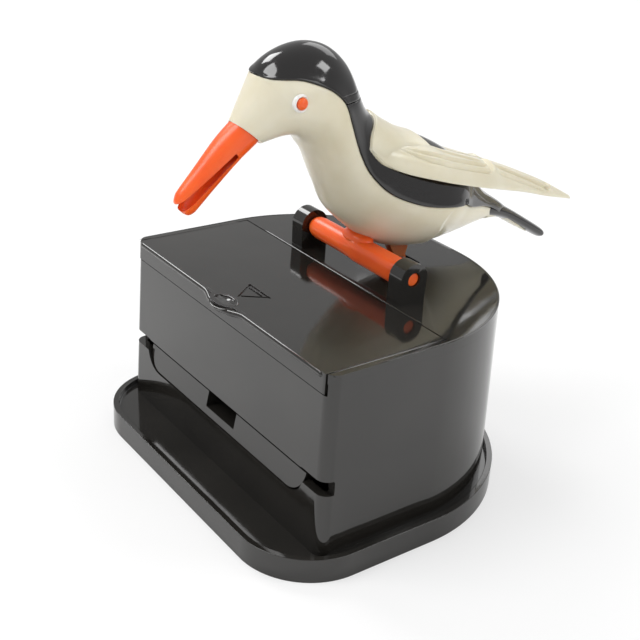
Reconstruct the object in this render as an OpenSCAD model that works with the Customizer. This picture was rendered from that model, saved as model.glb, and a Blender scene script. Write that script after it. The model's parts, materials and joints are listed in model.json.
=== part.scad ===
// Toothpick dispenser: a box on a rimmed base with a bird on a perch.
// The bird bows about its perch, and the linkage below it pushes a tray with one toothpick out of the front.
// Millimetres. X runs across the front, Y towards the back, Z up.
// The origin is the middle of the base on the table.

/* [Toothpick] */
// Length of a toothpick
pick_len = 65; // [60:0.5:80]
// Diameter of a toothpick
pick_d = 2.2; // [1.8:0.1:2.3]
// Play of the toothpick at each end in the hopper
pick_play = 0.8; // [0.5:0.1:1.5]

/* [Box] */
// Depth of the box from its front wall to its back
box_d = 62.2; // [61.6:0.2:68]
// Height of the closed box above the table
box_top_z = 43.2; // [42.8:0.2:48]
// Thickness of the box walls
wall_t = 2; // [1.8:0.1:2.2]
// Radius of the two front corners
box_front_r = 2.5; // [2.2:0.1:4]
// Width of the straight middle of the box's back wall, between its two wide round corners
back_flat = 6; // [4:0.5:16]

/* [Base] */
// How far the base stands out beside the box
base_side = 3.8; // [3:0.2:8]
// How far the base reaches in front of the box, as an apron
base_apron = 10.2; // [6:0.2:18]
// How far the base reaches behind the box
base_behind = 1.6; // [1.5:0.1:6]
// Radius of the two front corners of the base
base_front_r = 16; // [8:0.5:20]
// Width of the straight middle of the base's back edge
base_back_flat = 8.2; // [4:0.2:18]
// Height of the thin rim round the base
rim_z = 5.4; // [4.9:0.1:7]
// Thickness of the rim
rim_t = 1.3; // [1:0.1:1.6]
// Height of the base's floor, on which the box stands
floor_z = 4.1; // [3.6:0.1:4.5]
// Thickness of the floor
floor_t = 2; // [1.6:0.1:2.4]
// Thickness of the skirt that stands on the table
skirt_t = 2.4; // [1.8:0.1:3]
// Thickness of the rib that crosses the middle of the underside
rib_t = 2.4; // [1.6:0.1:3]

/* [Top cover] */
// Thickness of the cover and the lid
cover_t = 2; // [1.8:0.1:2.4]
// Height of the lap where the cover sits inside the box wall
lap_h = 1.2; // [1:0.1:1.4]
// Thickness of the cover's lap below its plate
lap_t = 1.5; // [1.2:0.1:1.8]
// Distance from the box front to the back edge of the lid
lid_d = 28.9; // [28.4:0.1:29.2]
// Width of the cover's arm on each side of the lid
arm_w = 1.6; // [1.5:0.1:1.8]
// How far the ledges that guide the lid reach in from the arms
ledge_w = 2.6; // [2.2:0.1:3]
// Thickness of the ledges
ledge_t = 1; // [0.8:0.1:1.2]

/* [Lid] */
// Height of the lid's front lip
lip_h = 4.2; // [4.2:0.1:4.8]
// Thickness of the lip
lip_t = 1.5; // [1.2:0.1:1.8]
// How far the lip stands in front of the box wall
lip_out = 0.2; // [0.1:0.1:0.5]
// Width of the thumb tab
tab_w = 12.4; // [8:0.2:16]
// How far the thumb tab stands out in front of the lip
tab_out = 1.8; // [1:0.1:2]
// Length of the oval thumb dish along the front edge
dish_l = 6; // [5:0.2:8]
// Width of the dish from front to back
dish_w = 4.2; // [3.6:0.2:5]
// Depth of the thumb dish
dish_deep = 0.6; // [0.3:0.1:0.8]
// Depth of the moulded arrow on the lid
arrow_deep = 0.3; // [0.2:0.1:0.5]
// Width of the arrow's base
arrow_w = 8.2; // [6:0.2:10]
// Length of the arrow from its tip to its base
arrow_l = 5.8; // [4:0.2:7]
// Distance of the arrow's tip from the box's front
arrow_from = 3.4; // [3.2:0.2:5]
// Thickness of each runner leg under the lid
runner_t = 1; // [0.8:0.1:1.2]
// Thickness of the runner feet that hook under the ledges
runner_foot_t = 0.7; // [0.6:0.1:0.8]

/* [Front opening] */
// Height of the lower edge of the upper front panel
panel_z = 20.5; // [20.3:0.1:21]
// Distance from each side of the box to the end of the tray's front flap
flap_margin = 7; // [6.4:0.1:7.6]
// Height of the bottom of the flap
flap_z = 13.9; // [13.7:0.1:14.3]
// Radius of the flap's two lower corners
flap_r = 5; // [3:0.5:5.5]
// How far the top of the flap leans back
flap_lean = 1.2; // [0.5:0.1:1.3]
// Gap round the flap in the front wall
flap_gap = 0.35; // [0.3:0.05:0.6]
// Height of the lower edge of the end notches in the front corners
notch_z = 17.6; // [17.3:0.1:17.9]
// Height of the end notches
notch_h = 3.1; // [2.9:0.1:3.5]
// How far the end notches reach back along the sides
notch_back = 2.7; // [2.4:0.1:3.2]

/* [Tray and hopper] */
// Height of the tray's top
tray_top_z = 20; // [19.8:0.1:20.1]
// Thickness of the tray's deck
deck_t = 2.2; // [1.8:0.1:2.2]
// Depth of the tray's front block behind the flap
block_d = 6.8; // [6.4:0.1:7.2]
// Distance from the box front to the toothpick groove
groove_y = 3.9; // [3.8:0.1:4]
// Width of the notch in the middle of the tray, where the beak bites
bite_w = 11.2; // [10:0.1:13]
// Height of the bottom of that notch
bite_z = 15.5; // [15.2:0.1:16]
// Travel of the tray when the bird bows all the way
tray_travel = 7.6; // [7:0.1:7.8]
// Angle through which the bird bows
bow_angle = 58; // [54:1:58]
// Slope of the chute that feeds the toothpicks forward
chute_angle = 30; // [26:1:32]
// Thickness of the chute
chute_t = 1.6; // [1.2:0.1:1.8]
// Thickness of the two cheeks beside the toothpicks
cheek_t = 2.6; // [2:0.1:3.2]

/* [Perch and ears] */
// Distance from the box front to the axis of the perch
perch_y = 33.5; // [33.2:0.1:34]
// Height of the perch's axis above the cover
perch_up = 5.4; // [5.3:0.1:6.4]
// Diameter of the perch
perch_d = 5; // [4:0.2:5.2]
// Distance between the inner faces of the two ears
ear_gap = 31.2; // [29:0.2:33]
// Thickness of each ear
ear_t = 3.9; // [3:0.1:4.4]
// How far the ears and the perch sit towards the right
ear_shift = 0.8; // [0:0.1:1]
// Radius of the rounded top of each ear
ear_r = 3.5; // [3.2:0.1:4]
// Diameter of the pins at the perch's ends
pin_d = 3; // [2:0.1:3.4]
// Width of the slot behind the perch
slot_w = 8.2; // [7.6:0.2:10]
// Distance from the perch's axis to the front of the slot
slot_from = 5; // [4.6:0.1:5.5]
// Distance from the perch's axis to the back of the slot
slot_to = 16.3; // [15.4:0.1:18]

/* [Linkage] */
// How far the lever's eye lies behind the perch's axis
eye_back = 12.5; // [12:0.1:13]
// How far the lever's eye lies below the perch's axis
eye_down = 4.7; // [4.4:0.1:5]
// Thickness of the lever and of the rocker's arm
lever_t = 2.4; // [2:0.1:2.8]
// Diameter of the steel link wire
wire_d = 1; // [0.8:0.1:1.2]
// Distance from the box front to the rocker's axle
rocker_y = 31; // [30.6:0.1:31.4]
// Height of the rocker's axle above the base's floor
rocker_up = 7.5; // [7.4:0.1:7.7]
// Radius of the rocker's hub
hub_r = 2.8; // [2.4:0.1:3]
// Diameter of the rocker's steel axle
axle_d = 2; // [1.6:0.1:2.4]
// Radius of the rounded tip of the rocker's finger
finger_r = 1.2; // [1:0.1:1.3]
// Half distance between the two posts that carry the axle
post_in = 6.6; // [6.4:0.1:8]
// Thickness of each post
post_t = 2; // [1.6:0.1:2.4]

/* [Bird] */
// Wall of the two hollow body shells
shell_t = 1.6; // [1.2:0.1:2]
// Thickness of a wing at its middle
wing_t = 2; // [1.6:0.1:2.4]
// Thickness of the mantle over the shoulders
mantle_t = 0.8; // [0.7:0.1:1.2]
// Width of the slit between the jaws at the tip of the beak
jaw_gap = 1.3; // [1:0.1:1.6]
// Diameter of the eye's coloured middle
pupil_d = 3.1; // [2.6:0.1:3.4]
// Width of the pale ring round it
eye_ring = 0.4; // [0.3:0.1:0.6]
// Height of the crown above the perch's axis, to which the whole bird is sized
crown_up = 45.9; // [44:0.1:48]
// Height above the perch's axis at which the crown meets the nape
nape_up = 35; // [31:0.5:37]
// Distance between the middles of the two eyes
eyes_apart = 15.8; // [15.2:0.1:16.4]
// Half width of the saddle that holds the perch to the belly
saddle_half = 4; // [3:0.5:6]

/* [Fits] */
// Running clearance of a pin or wire in its hole, on the radius
run_fit = 0.05; // [0.03:0.01:0.08]
// Gap between pieces that slide past each other
slide_fit = 0.3; // [0.25:0.05:0.35]
// Gap between pieces that are fixed together
seat_fit = 0.1; // [0.05:0.05:0.15]

/* [Hidden] */
$fn = 48;
black = "#1b1b1d";
cream = "#e9e4d2";
orange = "#f05a22";
steel = "#b9bcc0";
eps = 0.01;
tab_rim = 0.4;
arrow_line = 0.5;

box_w = pick_len + 2 * (pick_play + cheek_t + seat_fit + wall_t);
box_back_r = (box_w - back_flat) / 2;
box_back = box_d;
base_w = box_w + 2 * base_side;
base_front = -base_apron;
base_back = box_back + base_behind;
base_back_r = (base_w - base_back_flat) / 2;
foot_mid = (base_front + base_back) / 2;
seam_z = box_top_z - cover_t;
inner_w = box_w - 2 * wall_t;

lid_half = box_w / 2 - arm_w;
lip_z = box_top_z - lip_h;
wall_front_z = lip_z - slide_fit;
ledge_top = seam_z;
ledge_z = ledge_top - ledge_t;
ledge_in = lid_half - ledge_w;
lid_under = seam_z + slide_fit;
runner_out = ledge_in - slide_fit;
runner_foot_top = ledge_z - slide_fit / 2;
runner_z = runner_foot_top - runner_foot_t;
runner_from = lip_t + 2 * slide_fit;
lap_step = 0.4 * wall_t;
spigot_out = lap_step + seat_fit;
lap_from = max(runner_from, spigot_out + lap_t + slide_fit);

perch_z = box_top_z + perch_up;
ear_right = ear_shift + ear_gap / 2;
ear_left = ear_shift - ear_gap / 2;
eye_y = perch_y + eye_back;
eye_z = perch_z - eye_down;
rocker_z = floor_z + rocker_up;
arm_y = rocker_y + eye_back;
arm_z = rocker_z - eye_down;
eye_bore = wire_d / 2 + run_fit;
eye_wall = 1.1;
half_bow = bow_angle / 2;
finger_len = tray_travel / (2 * sin(half_bow));
finger_y = rocker_y + finger_len * sin(half_bow);
finger_z = rocker_z + finger_len * cos(half_bow);
wire_x = lever_t / 2 + slide_fit + wire_d / 2;

flap_w = box_w - 2 * flap_margin;
flap_half = flap_w / 2;
deck_z = tray_top_z - deck_t;
fork_half = finger_r + 0.15;
foot_half = hub_r + 1.2;
foot_t = 1.4;
deck_back = finger_y + fork_half + 2.4;
groove_r = pick_d / 2 + 0.15;
groove_mid_z = tray_top_z - 0.7;
chute_in = pick_len / 2 + pick_play;
chute_out = inner_w / 2 - seat_fit;
chute_z = tray_top_z + slide_fit;
outlet = 1.55 * pick_d;
chute_front = wall_t + outlet;
chute_from = wall_t + 1;
chute_back = lid_d - 1.3;
runner_to = chute_back + seat_fit - slide_fit;
chute_top = min(runner_z, wall_front_z) - slide_fit;
back_wall_t = 1.8;
back_wall_z = chute_z + 3.7;
rail_from = block_d + slide_fit;
rail_to = box_back - box_back_r;
rail_wrap = 1.3;
screw_d = 2.2;
screw_head_d = 4.4;
screw_head_t = 1.1;
boss_r = 3;
boss_z = flap_z - slide_fit - 1.2;

bird_size = crown_up / 45.9;
// Stations of the bird's body from the root of the beak to the rump, counted from the perch's axis:
// back, up, lean of the section in degrees, half height, half width
BODY = sized([[-29.2, 29.3, 141, 3.7, 3.9], [-24.8, 32.6, 132, 6.2, 6.2], [-20.9, 34.9, 115, 9.1, 8.1],
              [-15.5, 35.3, 90, 10.6, 8.9], [-10.9, 32.1, 76, 10.8, 8.6], [-6.2, 23.7, 64, 9.6, 8.7],
              [-0.2, 17.8, 53, 11.0, 10.2], [9.8, 12.1, 59, 12.7, 11.7], [17.9, 9.0, 60, 11.5, 11.8],
              [25.0, 7.2, 67, 8.2, 8.9], [33.7, 4.6, 74, 4.2, 5.5], [42.5, 2.2, 81, 1.3, 2.3]]);
// Edge between the pale underside and the dark cap, nape and back, from the forehead to the tail: back, up
SEAM = bird_size * [[-29.8, 42.6], [-27.6, 40.6], [-25.5, 40.3], [-21.8, 40.9], [-19.3, 40.3], [-15.2, 38.3],
                    [-11.6, 35.0], [-9.5, 30.3], [-7.0, 24.3], [-4.1, 19.4], [0.9, 15.0], [9.0, 11.7],
                    [18.1, 10.1], [22.5, 9.4], [25.9, 7.8], [32.6, 6.0], [37.5, 3.9], [41, 1.4], [46, -2.2],
                    [60, -13]];
// Stations of the tail, as the body's
TAIL = sized([[26, 7.0, 75, 3.2, 5.0], [36, 3.6, 72, 2.0, 4.2], [44, 0.9, 66, 1.0, 3.2],
              [52, -3.4, 62, 0.75, 2.8], [58.3, -7.0, 60, 0.45, 2.0]]);
// Stations of the beak, as the body's
BEAK = sized([[-27.4, 31.6, 140, 3.0, 3.2], [-29.3, 29.6, 139, 3.5, 3.6], [-33.2, 26.4, 136, 3.55, 3.3],
              [-38.2, 21.3, 134, 3.1, 2.7], [-41.9, 17.5, 134, 2.9, 2.2], [-43.0, 16.3, 134, 2.4, 1.7]]);
// Bottom end of the slit between the jaws, and its open end: back, up
SLIT = bird_size * [[-32.5, 25.9], [-45.6, 15.3]];
// Middle of the eye: back, up
EYE = bird_size * [-21.7, 36.1];
// Stations of one wing blade: back, inner edge (sideways, up), outer edge (sideways, up), arch,
// share of wing_t
WING = [for (s = [[-4.5, 8.6, 26.2, 9.5, 25.0, 0, 0.2], [-1, 7.3, 26.3, 10.4, 21.9, 0.4, 0.35],
                  [4, 5.0, 24.6, 11.2, 19.4, 1.6, 0.5], [12.6, 3.5, 22.8, 12.6, 16.9, 2.0, 0.8],
                  [18.3, 2.0, 20.8, 12.0, 15.2, 1.5, 0.9], [28.4, 0.6, 17.5, 9.8, 12.2, 0.4, 0.8],
                  [36, 0.5, 14.95, 7.4, 9.9, 0.3, 0.7], [46, 0.45, 11.1, 5.0, 7.0, 0.2, 0.6],
                  [56.4, 0.4, 6.7, 3.0, 3.7, 0.1, 0.45], [66.7, 0.35, 1.55, 1.0, 0.7, 0, 0.2]])
        [for (i = [0 : 6]) i < 6 ? bird_size * s[i] : s[i] * wing_t]];
// Outline of the mantle and the wing fronts in the side view: back, up
MANTLE = bird_size * [[2.9, 36], [2.6, 31.2], [0.4, 30.6], [-2.6, 29.4], [-4.2, 27.8], [-5.0, 25.0],
                      [-2.3, 22.0], [1.0, 20.3], [5.9, 18.5], [12, 16.8], [17.4, 15.4], [16.4, 20.2],
                      [14.4, 22.2], [13.2, 28]];

function sized(list) =
    [for (s = list) [bird_size * s[0], bird_size * s[1], s[2], bird_size * s[3], bird_size * s[4]]];
function blend(a, b, c, d, t) =
    0.5 * (2 * b + (c - a) * t + (2 * a - 5 * b + 4 * c - d) * t * t + (3 * b - a - 3 * c + d) * t * t * t);
function ends(list) = concat([2 * list[0] - list[1]], list, [2 * list[len(list) - 1] - list[len(list) - 2]]);
function smooth(list, steps) = let (e = ends(list), last = len(list) - 1)
    concat([for (i = [0 : last - 1], k = [0 : steps - 1])
                blend(e[i], e[i + 1], e[i + 2], e[i + 3], k / steps)],
           [list[last]]);
function body_ring(s, grow, around, turn = -1) =
    [for (k = [0 : around - 1]) let (t = turn * 360 * k / around, u = (s[3] + grow) * cos(t))
        [(s[4] + grow) * sin(t), perch_y + s[0] + u * cos(s[2]), perch_z + s[1] + u * sin(s[2])]];
function wing_ring(s, side, around) =
    let (mid = [s[1] + s[3], s[2] + s[4]] / 2,
         half = [s[1] - s[3], s[2] - s[4]] / 2,
         out = [half[1], -half[0]] / norm(half))
    [for (k = [0 : around - 1])
        let (t = 360 * k / around,
             q = mid + cos(t) * half + (s[6] / 2 * sin(t) + s[5] * pow(sin(t), 2)) * out)
        [side * q[0], perch_y + s[0], perch_z + q[1]]];

// A closed skin over rings that all have the same number of points
module skin(rings) {
    n = len(rings[0]);
    m = len(rings);
    points = [for (r = rings) for (p = r) p];
    sides = [for (i = [0 : m - 2], k = [0 : n - 1])
        let (a = i * n + k, b = i * n + (k + 1) % n) each [[a, b, b + n], [a, b + n, a + n]]];
    first = [for (k = [1 : n - 2]) [0, k + 1, k]];
    last = [for (k = [1 : n - 2]) [(m - 1) * n, (m - 1) * n + k, (m - 1) * n + k + 1]];
    polyhedron(points, concat(sides, first, last));
}

// Moves the piece from the box's front plane to the frame of the whole object
module place() {
    translate([0, -foot_mid, 0]) children();
}

// Outline with straight sides, two front corners and two wide back corners
module outline(w, front, back, front_r, back_r) {
    shoulder = back - back_r;
    for (s = [-1, 1]) translate([s * (w / 2 - front_r), front + front_r]) circle(r = front_r, $fn = 32);
    intersection() {
        for (s = [-1, 1]) translate([s * (w / 2 - back_r), shoulder]) circle(r = back_r, $fn = 96);
        translate([-w, shoulder - eps]) square([2 * w, back]);
    }
    translate([-(w / 2 - front_r), front]) square([w - 2 * front_r, front_r + eps]);
    translate([-w / 2, front + front_r]) square([w, shoulder - front - front_r]);
    translate([-(w / 2 - back_r), shoulder - eps]) square([w - 2 * back_r, back_r + eps]);
}

module box_outline(inset = 0) {
    outline(box_w - 2 * inset, inset, box_back - inset, max(box_front_r - inset, 0.3), box_back_r - inset);
}

module base_outline(inset = 0) {
    outline(base_w - 2 * inset, base_front + inset, base_back - inset,
            base_front_r - inset, base_back_r - inset);
}

// A bar along X through a point of the side view
module bar_x(x0, x1, y, z, r) {
    translate([x0, y, z]) rotate([0, 90, 0]) cylinder(r = r, h = x1 - x0);
}

// A plate along X from a side view drawn in back and up
module plate_x(x0, x1) {
    translate([x0, 0, 0]) rotate([90, 0, 90]) linear_extrude(x1 - x0) children();
}

// A straight arm in the side view between two points
module arm_2d(from, to, width) {
    d = to - from;
    translate(from) rotate(atan2(d[1], d[0])) translate([0, -width / 2]) square([norm(d), width]);
}

// Places of the four base screws, two at the front and two at the back
module at_screws() {
    back_reach = (box_back_r - wall_t - boss_r + 0.3) * cos(45);
    for (s = [-1, 1]) {
        translate([s * (inner_w / 2 - boss_r + 0.3), box_front_r + boss_r + 2]) children();
        translate([s * (box_w / 2 - box_back_r + back_reach), box_back - box_back_r + back_reach]) children();
    }
}

// Shape of the tray's front, seen from the front, with rounded lower corners
module flap_2d(grow) {
    half = flap_half + grow;
    low = flap_z - grow;
    r = flap_r + grow;
    top = tray_top_z + 5;
    for (s = [-1, 1]) translate([s * (half - r), low + r]) circle(r = r);
    translate([-half + r, low]) square([2 * (half - r), r + eps]);
    translate([-half, low + r]) square([2 * half, top - low - r]);
}

module front_cut(y0, y1) {
    translate([0, y1, 0]) rotate([90, 0, 0]) linear_extrude(y1 - y0) children();
}

module base_plate() color(black) place() {
    difference() {
        linear_extrude(rim_z) base_outline();
        translate([0, 0, floor_z]) linear_extrude(rim_z) base_outline(rim_t);
        translate([0, 0, -1]) linear_extrude(floor_z - floor_t + 1) base_outline(skirt_t);
        at_screws() cylinder(d = screw_d + 2 * seat_fit, h = floor_z + 1);
    }
    translate([-base_w / 2 + skirt_t - eps, foot_mid - rib_t / 2, 0])
        cube([base_w - 2 * skirt_t + 2 * eps, rib_t, floor_z - floor_t + eps]);
}

module box_shell() color(black) place() {
    difference() {
        union() {
            translate([0, 0, floor_z]) linear_extrude(seam_z - floor_z) difference() {
                box_outline();
                box_outline(wall_t);
            }
            at_screws() translate([0, 0, floor_z]) cylinder(r = boss_r, h = boss_z - floor_z);
        }
        translate([0, 0, seam_z - lap_h]) linear_extrude(lap_h + 1) box_outline(lap_step);
        // room for the lid's lip and runners
        translate([-lid_half - slide_fit, -1, wall_front_z])
            cube([2 * (lid_half + slide_fit), 1 + max(wall_t, lip_t + slide_fit) + eps, box_top_z]);
        // opening for the tray, closed above by the upper front panel
        front_cut(-1, wall_t + 0.5) intersection() {
            flap_2d(flap_gap);
            translate([-box_w / 2, 0]) square([box_w, panel_z]);
        }
        // end notches through the front corners
        for (s = [-1, 1])
            translate([s > 0 ? flap_half - 0.5 : -box_w, -1, notch_z])
                cube([box_w - flap_half + 0.5, 1 + notch_back, notch_h]);
        at_screws() cylinder(d = screw_d - 0.2 + 2 * seat_fit, h = boss_z - 1);
    }
}

module ear_2d() {
    translate([perch_y, perch_z]) circle(r = ear_r);
    translate([perch_y - ear_r, box_top_z - 0.5]) square([2 * ear_r, perch_up + 0.5]);
}

module top_cover() color(black) place() {
    difference() {
        union() {
            // plate, with the arms beside the lid
            translate([0, 0, seam_z]) linear_extrude(cover_t) difference() {
                box_outline();
                translate([-lid_half - slide_fit / 2, -1])
                    square([2 * lid_half + slide_fit, 1 + lid_d + slide_fit / 2]);
            }
            // lap inside the box wall
            translate([0, 0, seam_z - lap_h + seat_fit]) linear_extrude(lap_h - seat_fit + eps) difference() {
                box_outline(spigot_out);
                box_outline(spigot_out + lap_t);
                translate([-box_w, -box_w + lap_from]) square([2 * box_w, box_w]);
            }
            // ledges that carry the lid
            for (s = [-1, 1]) translate([0, 0, ledge_z]) linear_extrude(ledge_t + eps) intersection() {
                box_outline(spigot_out);
                translate([s > 0 ? ledge_in : -ledge_in - box_w, runner_from])
                    square([box_w, lid_d + 3 - lip_t]);
            }
            plate_x(ear_right, ear_right + ear_t) ear_2d();
            plate_x(ear_left - ear_t, ear_left) ear_2d();
        }
        // slot for the lever
        translate([-slot_w / 2, perch_y + slot_from, seam_z - 2])
            cube([slot_w, slot_to - slot_from, cover_t + 4]);
        bar_x(ear_left - ear_t - 1, ear_right + ear_t + 1, perch_y, perch_z, pin_d / 2 + run_fit);
    }
}

// One sloping line of the arrow, from its tip to an end of its base
module arrow_leg(side) {
    polygon([[0, 0], [side * arrow_w / 2, arrow_l], [side * (arrow_w / 2 - 1.2 * arrow_line), arrow_l],
             [0, 2 * arrow_line]]);
}

module lid() color(black) place() {
    lid_w = 2 * lid_half - slide_fit;
    difference() {
        union() {
            // plate
            translate([0, 0, lid_under]) linear_extrude(box_top_z - lid_under) intersection() {
                translate([0, -lip_out]) box_outline();
                translate([-lid_w / 2, -lip_out - 1]) square([lid_w, lid_d - slide_fit / 2 + lip_out + 1]);
            }
            // front lip
            translate([0, 0, lip_z]) linear_extrude(lip_h) intersection() {
                translate([0, -lip_out]) box_outline();
                translate([-lid_w / 2, -lip_out - 1]) square([lid_w, lip_t + 1]);
            }
            // thumb tab
            translate([0, -lip_out + tab_w / 2 - tab_out, lid_under])
                cylinder(r = tab_w / 2, h = box_top_z - lid_under, $fn = 64);
            // runners that hook under the ledges
            for (s = [-1, 1]) {
                translate([s > 0 ? runner_out - runner_t : -runner_out, runner_from, runner_z])
                    cube([runner_t, runner_to - runner_from, lid_under - runner_z + eps]);
                translate([s > 0 ? runner_out - runner_t : -runner_out - ledge_w / 2, runner_from, runner_z])
                    cube([runner_t + ledge_w / 2, runner_to - runner_from, runner_foot_t]);
            }
        }
        // thumb dish
        translate([0, dish_w / 2 - tab_out + tab_rim, box_top_z - dish_deep])
            linear_extrude(dish_deep + eps) scale([dish_l / dish_w, 1]) circle(d = dish_w, $fn = 48);
        // arrow that points to the tab: its outline and one bar within it
        translate([0, arrow_from, box_top_z - arrow_deep]) linear_extrude(1) {
            arrow_leg(-1);
            arrow_leg(1);
            translate([-arrow_w / 2, arrow_l - arrow_line]) square([arrow_w, arrow_line]);
            translate([-0.3 * arrow_w, arrow_l - 3 * arrow_line]) square([0.6 * arrow_w, arrow_line]);
        }
    }
}

module hopper_chute() color(black) place() {
    rise = (chute_back - chute_front) * tan(chute_angle);
    plate_x(-chute_in - eps, chute_in + eps)
        polygon([[chute_front, chute_z], [chute_back, chute_z + rise],
                 [chute_back, chute_z + rise - chute_t * 1.2], [chute_front + chute_t * 1.8, chute_z]]);
    for (s = [-1, 1]) plate_x(s > 0 ? chute_in : -chute_out, s > 0 ? chute_out : -chute_in)
        polygon([[chute_from, chute_z + 0.8], [chute_from, chute_top], [chute_back, chute_top],
                 [chute_back, chute_z + 0.8]]);
}

module hopper_back() color(black) place() {
    half = inner_w / 2 - 1;
    translate([-half, chute_back + seat_fit, back_wall_z])
        cube([2 * half, back_wall_t, seam_z - lap_h - seat_fit - back_wall_z]);
    half_top = ledge_in - slide_fit;
    translate([-half_top, chute_back + seat_fit, back_wall_z])
        cube([2 * half_top, back_wall_t, seam_z - seat_fit - back_wall_z]);
}

// Channel rail in which one edge of the tray's deck runs
module tray_rail(side) color(black) place() {
    wall_in = flap_half + slide_fit;
    translate([0, rail_from, 0]) mirror([side > 0 ? 0 : 1, 0, 0]) difference() {
        translate([flap_half - rail_wrap, 0, deck_z - slide_fit - 1.5])
            cube([inner_w / 2 - seat_fit - flap_half + rail_wrap, rail_to - rail_from,
                  deck_t + 1.5 + 2 * slide_fit]);
        translate([flap_half - rail_wrap - 1, -1, deck_z - slide_fit])
            cube([1 + rail_wrap + wall_in - flap_half, rail_to - rail_from + 2, deck_t + 2 * slide_fit + 1]);
    }
}

module toothpick_tray() color(black) place() {
    difference() {
        union() {
            // front block with the leaning flap
            intersection() {
                plate_x(-flap_half, flap_half)
                    polygon([[0, flap_z], [flap_lean, tray_top_z], [block_d, tray_top_z], [block_d, flap_z]]);
                front_cut(-1, block_d + 1) flap_2d(0);
            }
            translate([-flap_half, block_d - eps, deck_z]) cube([flap_w, deck_back - block_d, deck_t]);
        }
        // groove for one toothpick
        bar_x(-flap_half - 1, flap_half + 1, groove_y, groove_mid_z, groove_r);
        translate([-flap_half - 1, groove_y - groove_r, groove_mid_z])
            cube([flap_w + 2, 2 * groove_r, tray_top_z]);
        // notch for the beak
        translate([-bite_w / 2, -1, bite_z]) cube([bite_w, 1 + block_d - 0.8, tray_top_z]);
        // hollow under the block
        translate([-flap_half + 2.4, groove_y + groove_r + 0.6, flap_z - 1])
            cube([flap_w - 4.8, block_d - groove_y - groove_r - 1.4, deck_z - flap_z + 1]);
        // opening for the rocker's finger
        translate([-lever_t / 2 - 1, finger_y - fork_half, deck_z - 1])
            cube([lever_t + 2, 2 * fork_half, deck_t + 2]);
    }
}

module rocker_bracket() color(black) place() {
    difference() {
        union() {
            translate([-post_in - post_t, rocker_y - foot_half, floor_z + seat_fit])
                cube([2 * (post_in + post_t), 2 * foot_half, foot_t]);
            for (s = [-1, 1])
                plate_x(s > 0 ? post_in : -post_in - post_t, s > 0 ? post_in + post_t : -post_in) {
                translate([rocker_y, rocker_z]) circle(r = hub_r);
                translate([rocker_y - hub_r, floor_z + seat_fit]) square([2 * hub_r, rocker_up - seat_fit]);
            }
        }
        bar_x(-post_in - post_t - 1, post_in + post_t + 1, rocker_y, rocker_z, axle_d / 2 + run_fit);
    }
}

module rocker_axle() color(steel) place() {
    bar_x(-post_in - post_t - 0.6, post_in + post_t + 0.6, rocker_y, rocker_z, axle_d / 2);
}

module rocker() color(orange) place() {
    difference() {
        union() {
            bar_x(-lever_t / 2 - 1.2, lever_t / 2 + 1.2, rocker_y, rocker_z, hub_r);
            plate_x(-lever_t / 2, lever_t / 2) {
                arm_2d([rocker_y, rocker_z], [arm_y, arm_z], 2.6);
                translate([arm_y, arm_z]) circle(r = eye_bore + eye_wall);
                arm_2d([rocker_y, rocker_z], [finger_y, finger_z], 1.4);
                translate([finger_y, finger_z]) circle(r = finger_r);
            }
        }
        bar_x(-lever_t, lever_t, arm_y, arm_z, eye_bore);
        bar_x(-lever_t - 3, lever_t + 3, rocker_y, rocker_z, axle_d / 2 + run_fit);
    }
}

// Torsion spring round the axle, between the hub and the left post
module return_spring() color(steel) place() {
    hub_end = lever_t / 2 + 1.2 + slide_fit;
    spring_r = axle_d / 2 + 0.4;
    wire = 0.6;
    difference() {
        bar_x(-post_in + slide_fit, -hub_end, rocker_y, rocker_z, spring_r + wire);
        bar_x(-post_in, -hub_end + 1, rocker_y, rocker_z, spring_r);
    }
    plate_x(-post_in + slide_fit, -post_in + slide_fit + wire)
        arm_2d([rocker_y - spring_r - wire / 2, rocker_z],
               [rocker_y - spring_r - wire / 2, floor_z + 2], wire);
}

module link_wire() color(steel) place() {
    r = wire_d / 2;
    run = [0, perch_y - rocker_y, perch_z - rocker_z];
    tail = lever_t / 2 + 0.6;
    translate([wire_x, arm_y, arm_z]) rotate([-atan2(run[1], run[2]), 0, 0]) translate([0, 0, -r - 0.1])
        cylinder(r = r + 0.05, h = norm(run) + 2 * r + 0.2);
    bar_x(-tail, wire_x, arm_y, arm_z, r);
    bar_x(-tail, wire_x, eye_y, eye_z, r);
}

module base_screws() color(steel) place() {
    at_screws() {
        translate([0, 0, floor_z - floor_t - screw_head_t])
            cylinder(d = screw_head_d, h = screw_head_t - seat_fit / 2);
        translate([0, 0, floor_z - floor_t - screw_head_t]) cylinder(d = screw_d - 0.2, h = boss_z - floor_z);
    }
}

module perch_rod() color(orange) place() {
    bar_x(ear_left + slide_fit, ear_right - slide_fit, perch_y, perch_z, perch_d / 2);
    bar_x(ear_left - ear_t, ear_right + ear_t, perch_y, perch_z, pin_d / 2);
}

// Saddle between the belly and the perch
module perch_saddle() color(orange) place() {
    difference() {
        plate_x(-saddle_half, saddle_half) polygon([
            [perch_y - 0.8, perch_z + 1], [perch_y + perch_d / 2 - 0.2, perch_z + 0.4],
            [perch_y + 5, perch_z + 3.5], [perch_y - 0.8, perch_z + 6.5]]);
        bar_x(-saddle_half - 1, saddle_half + 1, perch_y, perch_z, perch_d / 2 + seat_fit / 2);
        body_solid(seat_fit / 2);
    }
}

// Lever under the belly, with the eye for the link wire
module lever() color("#b5552a") place() {
    difference() {
        union() {
            plate_x(-lever_t / 2, lever_t / 2)
                polygon([[eye_y - 5, perch_z + 2], [eye_y + 3, perch_z + 2],
                         [eye_y + 1.2, eye_z], [eye_y - 1.2, eye_z]]);
            bar_x(-lever_t / 2, lever_t / 2, eye_y, eye_z, eye_bore + eye_wall);
        }
        bar_x(-lever_t, lever_t, eye_y, eye_z, eye_bore);
        body_solid(seat_fit / 2);
    }
}

module body_solid(grow) {
    skin([for (s = smooth(BODY, 4)) body_ring(s, grow, 28)]);
}

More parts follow.
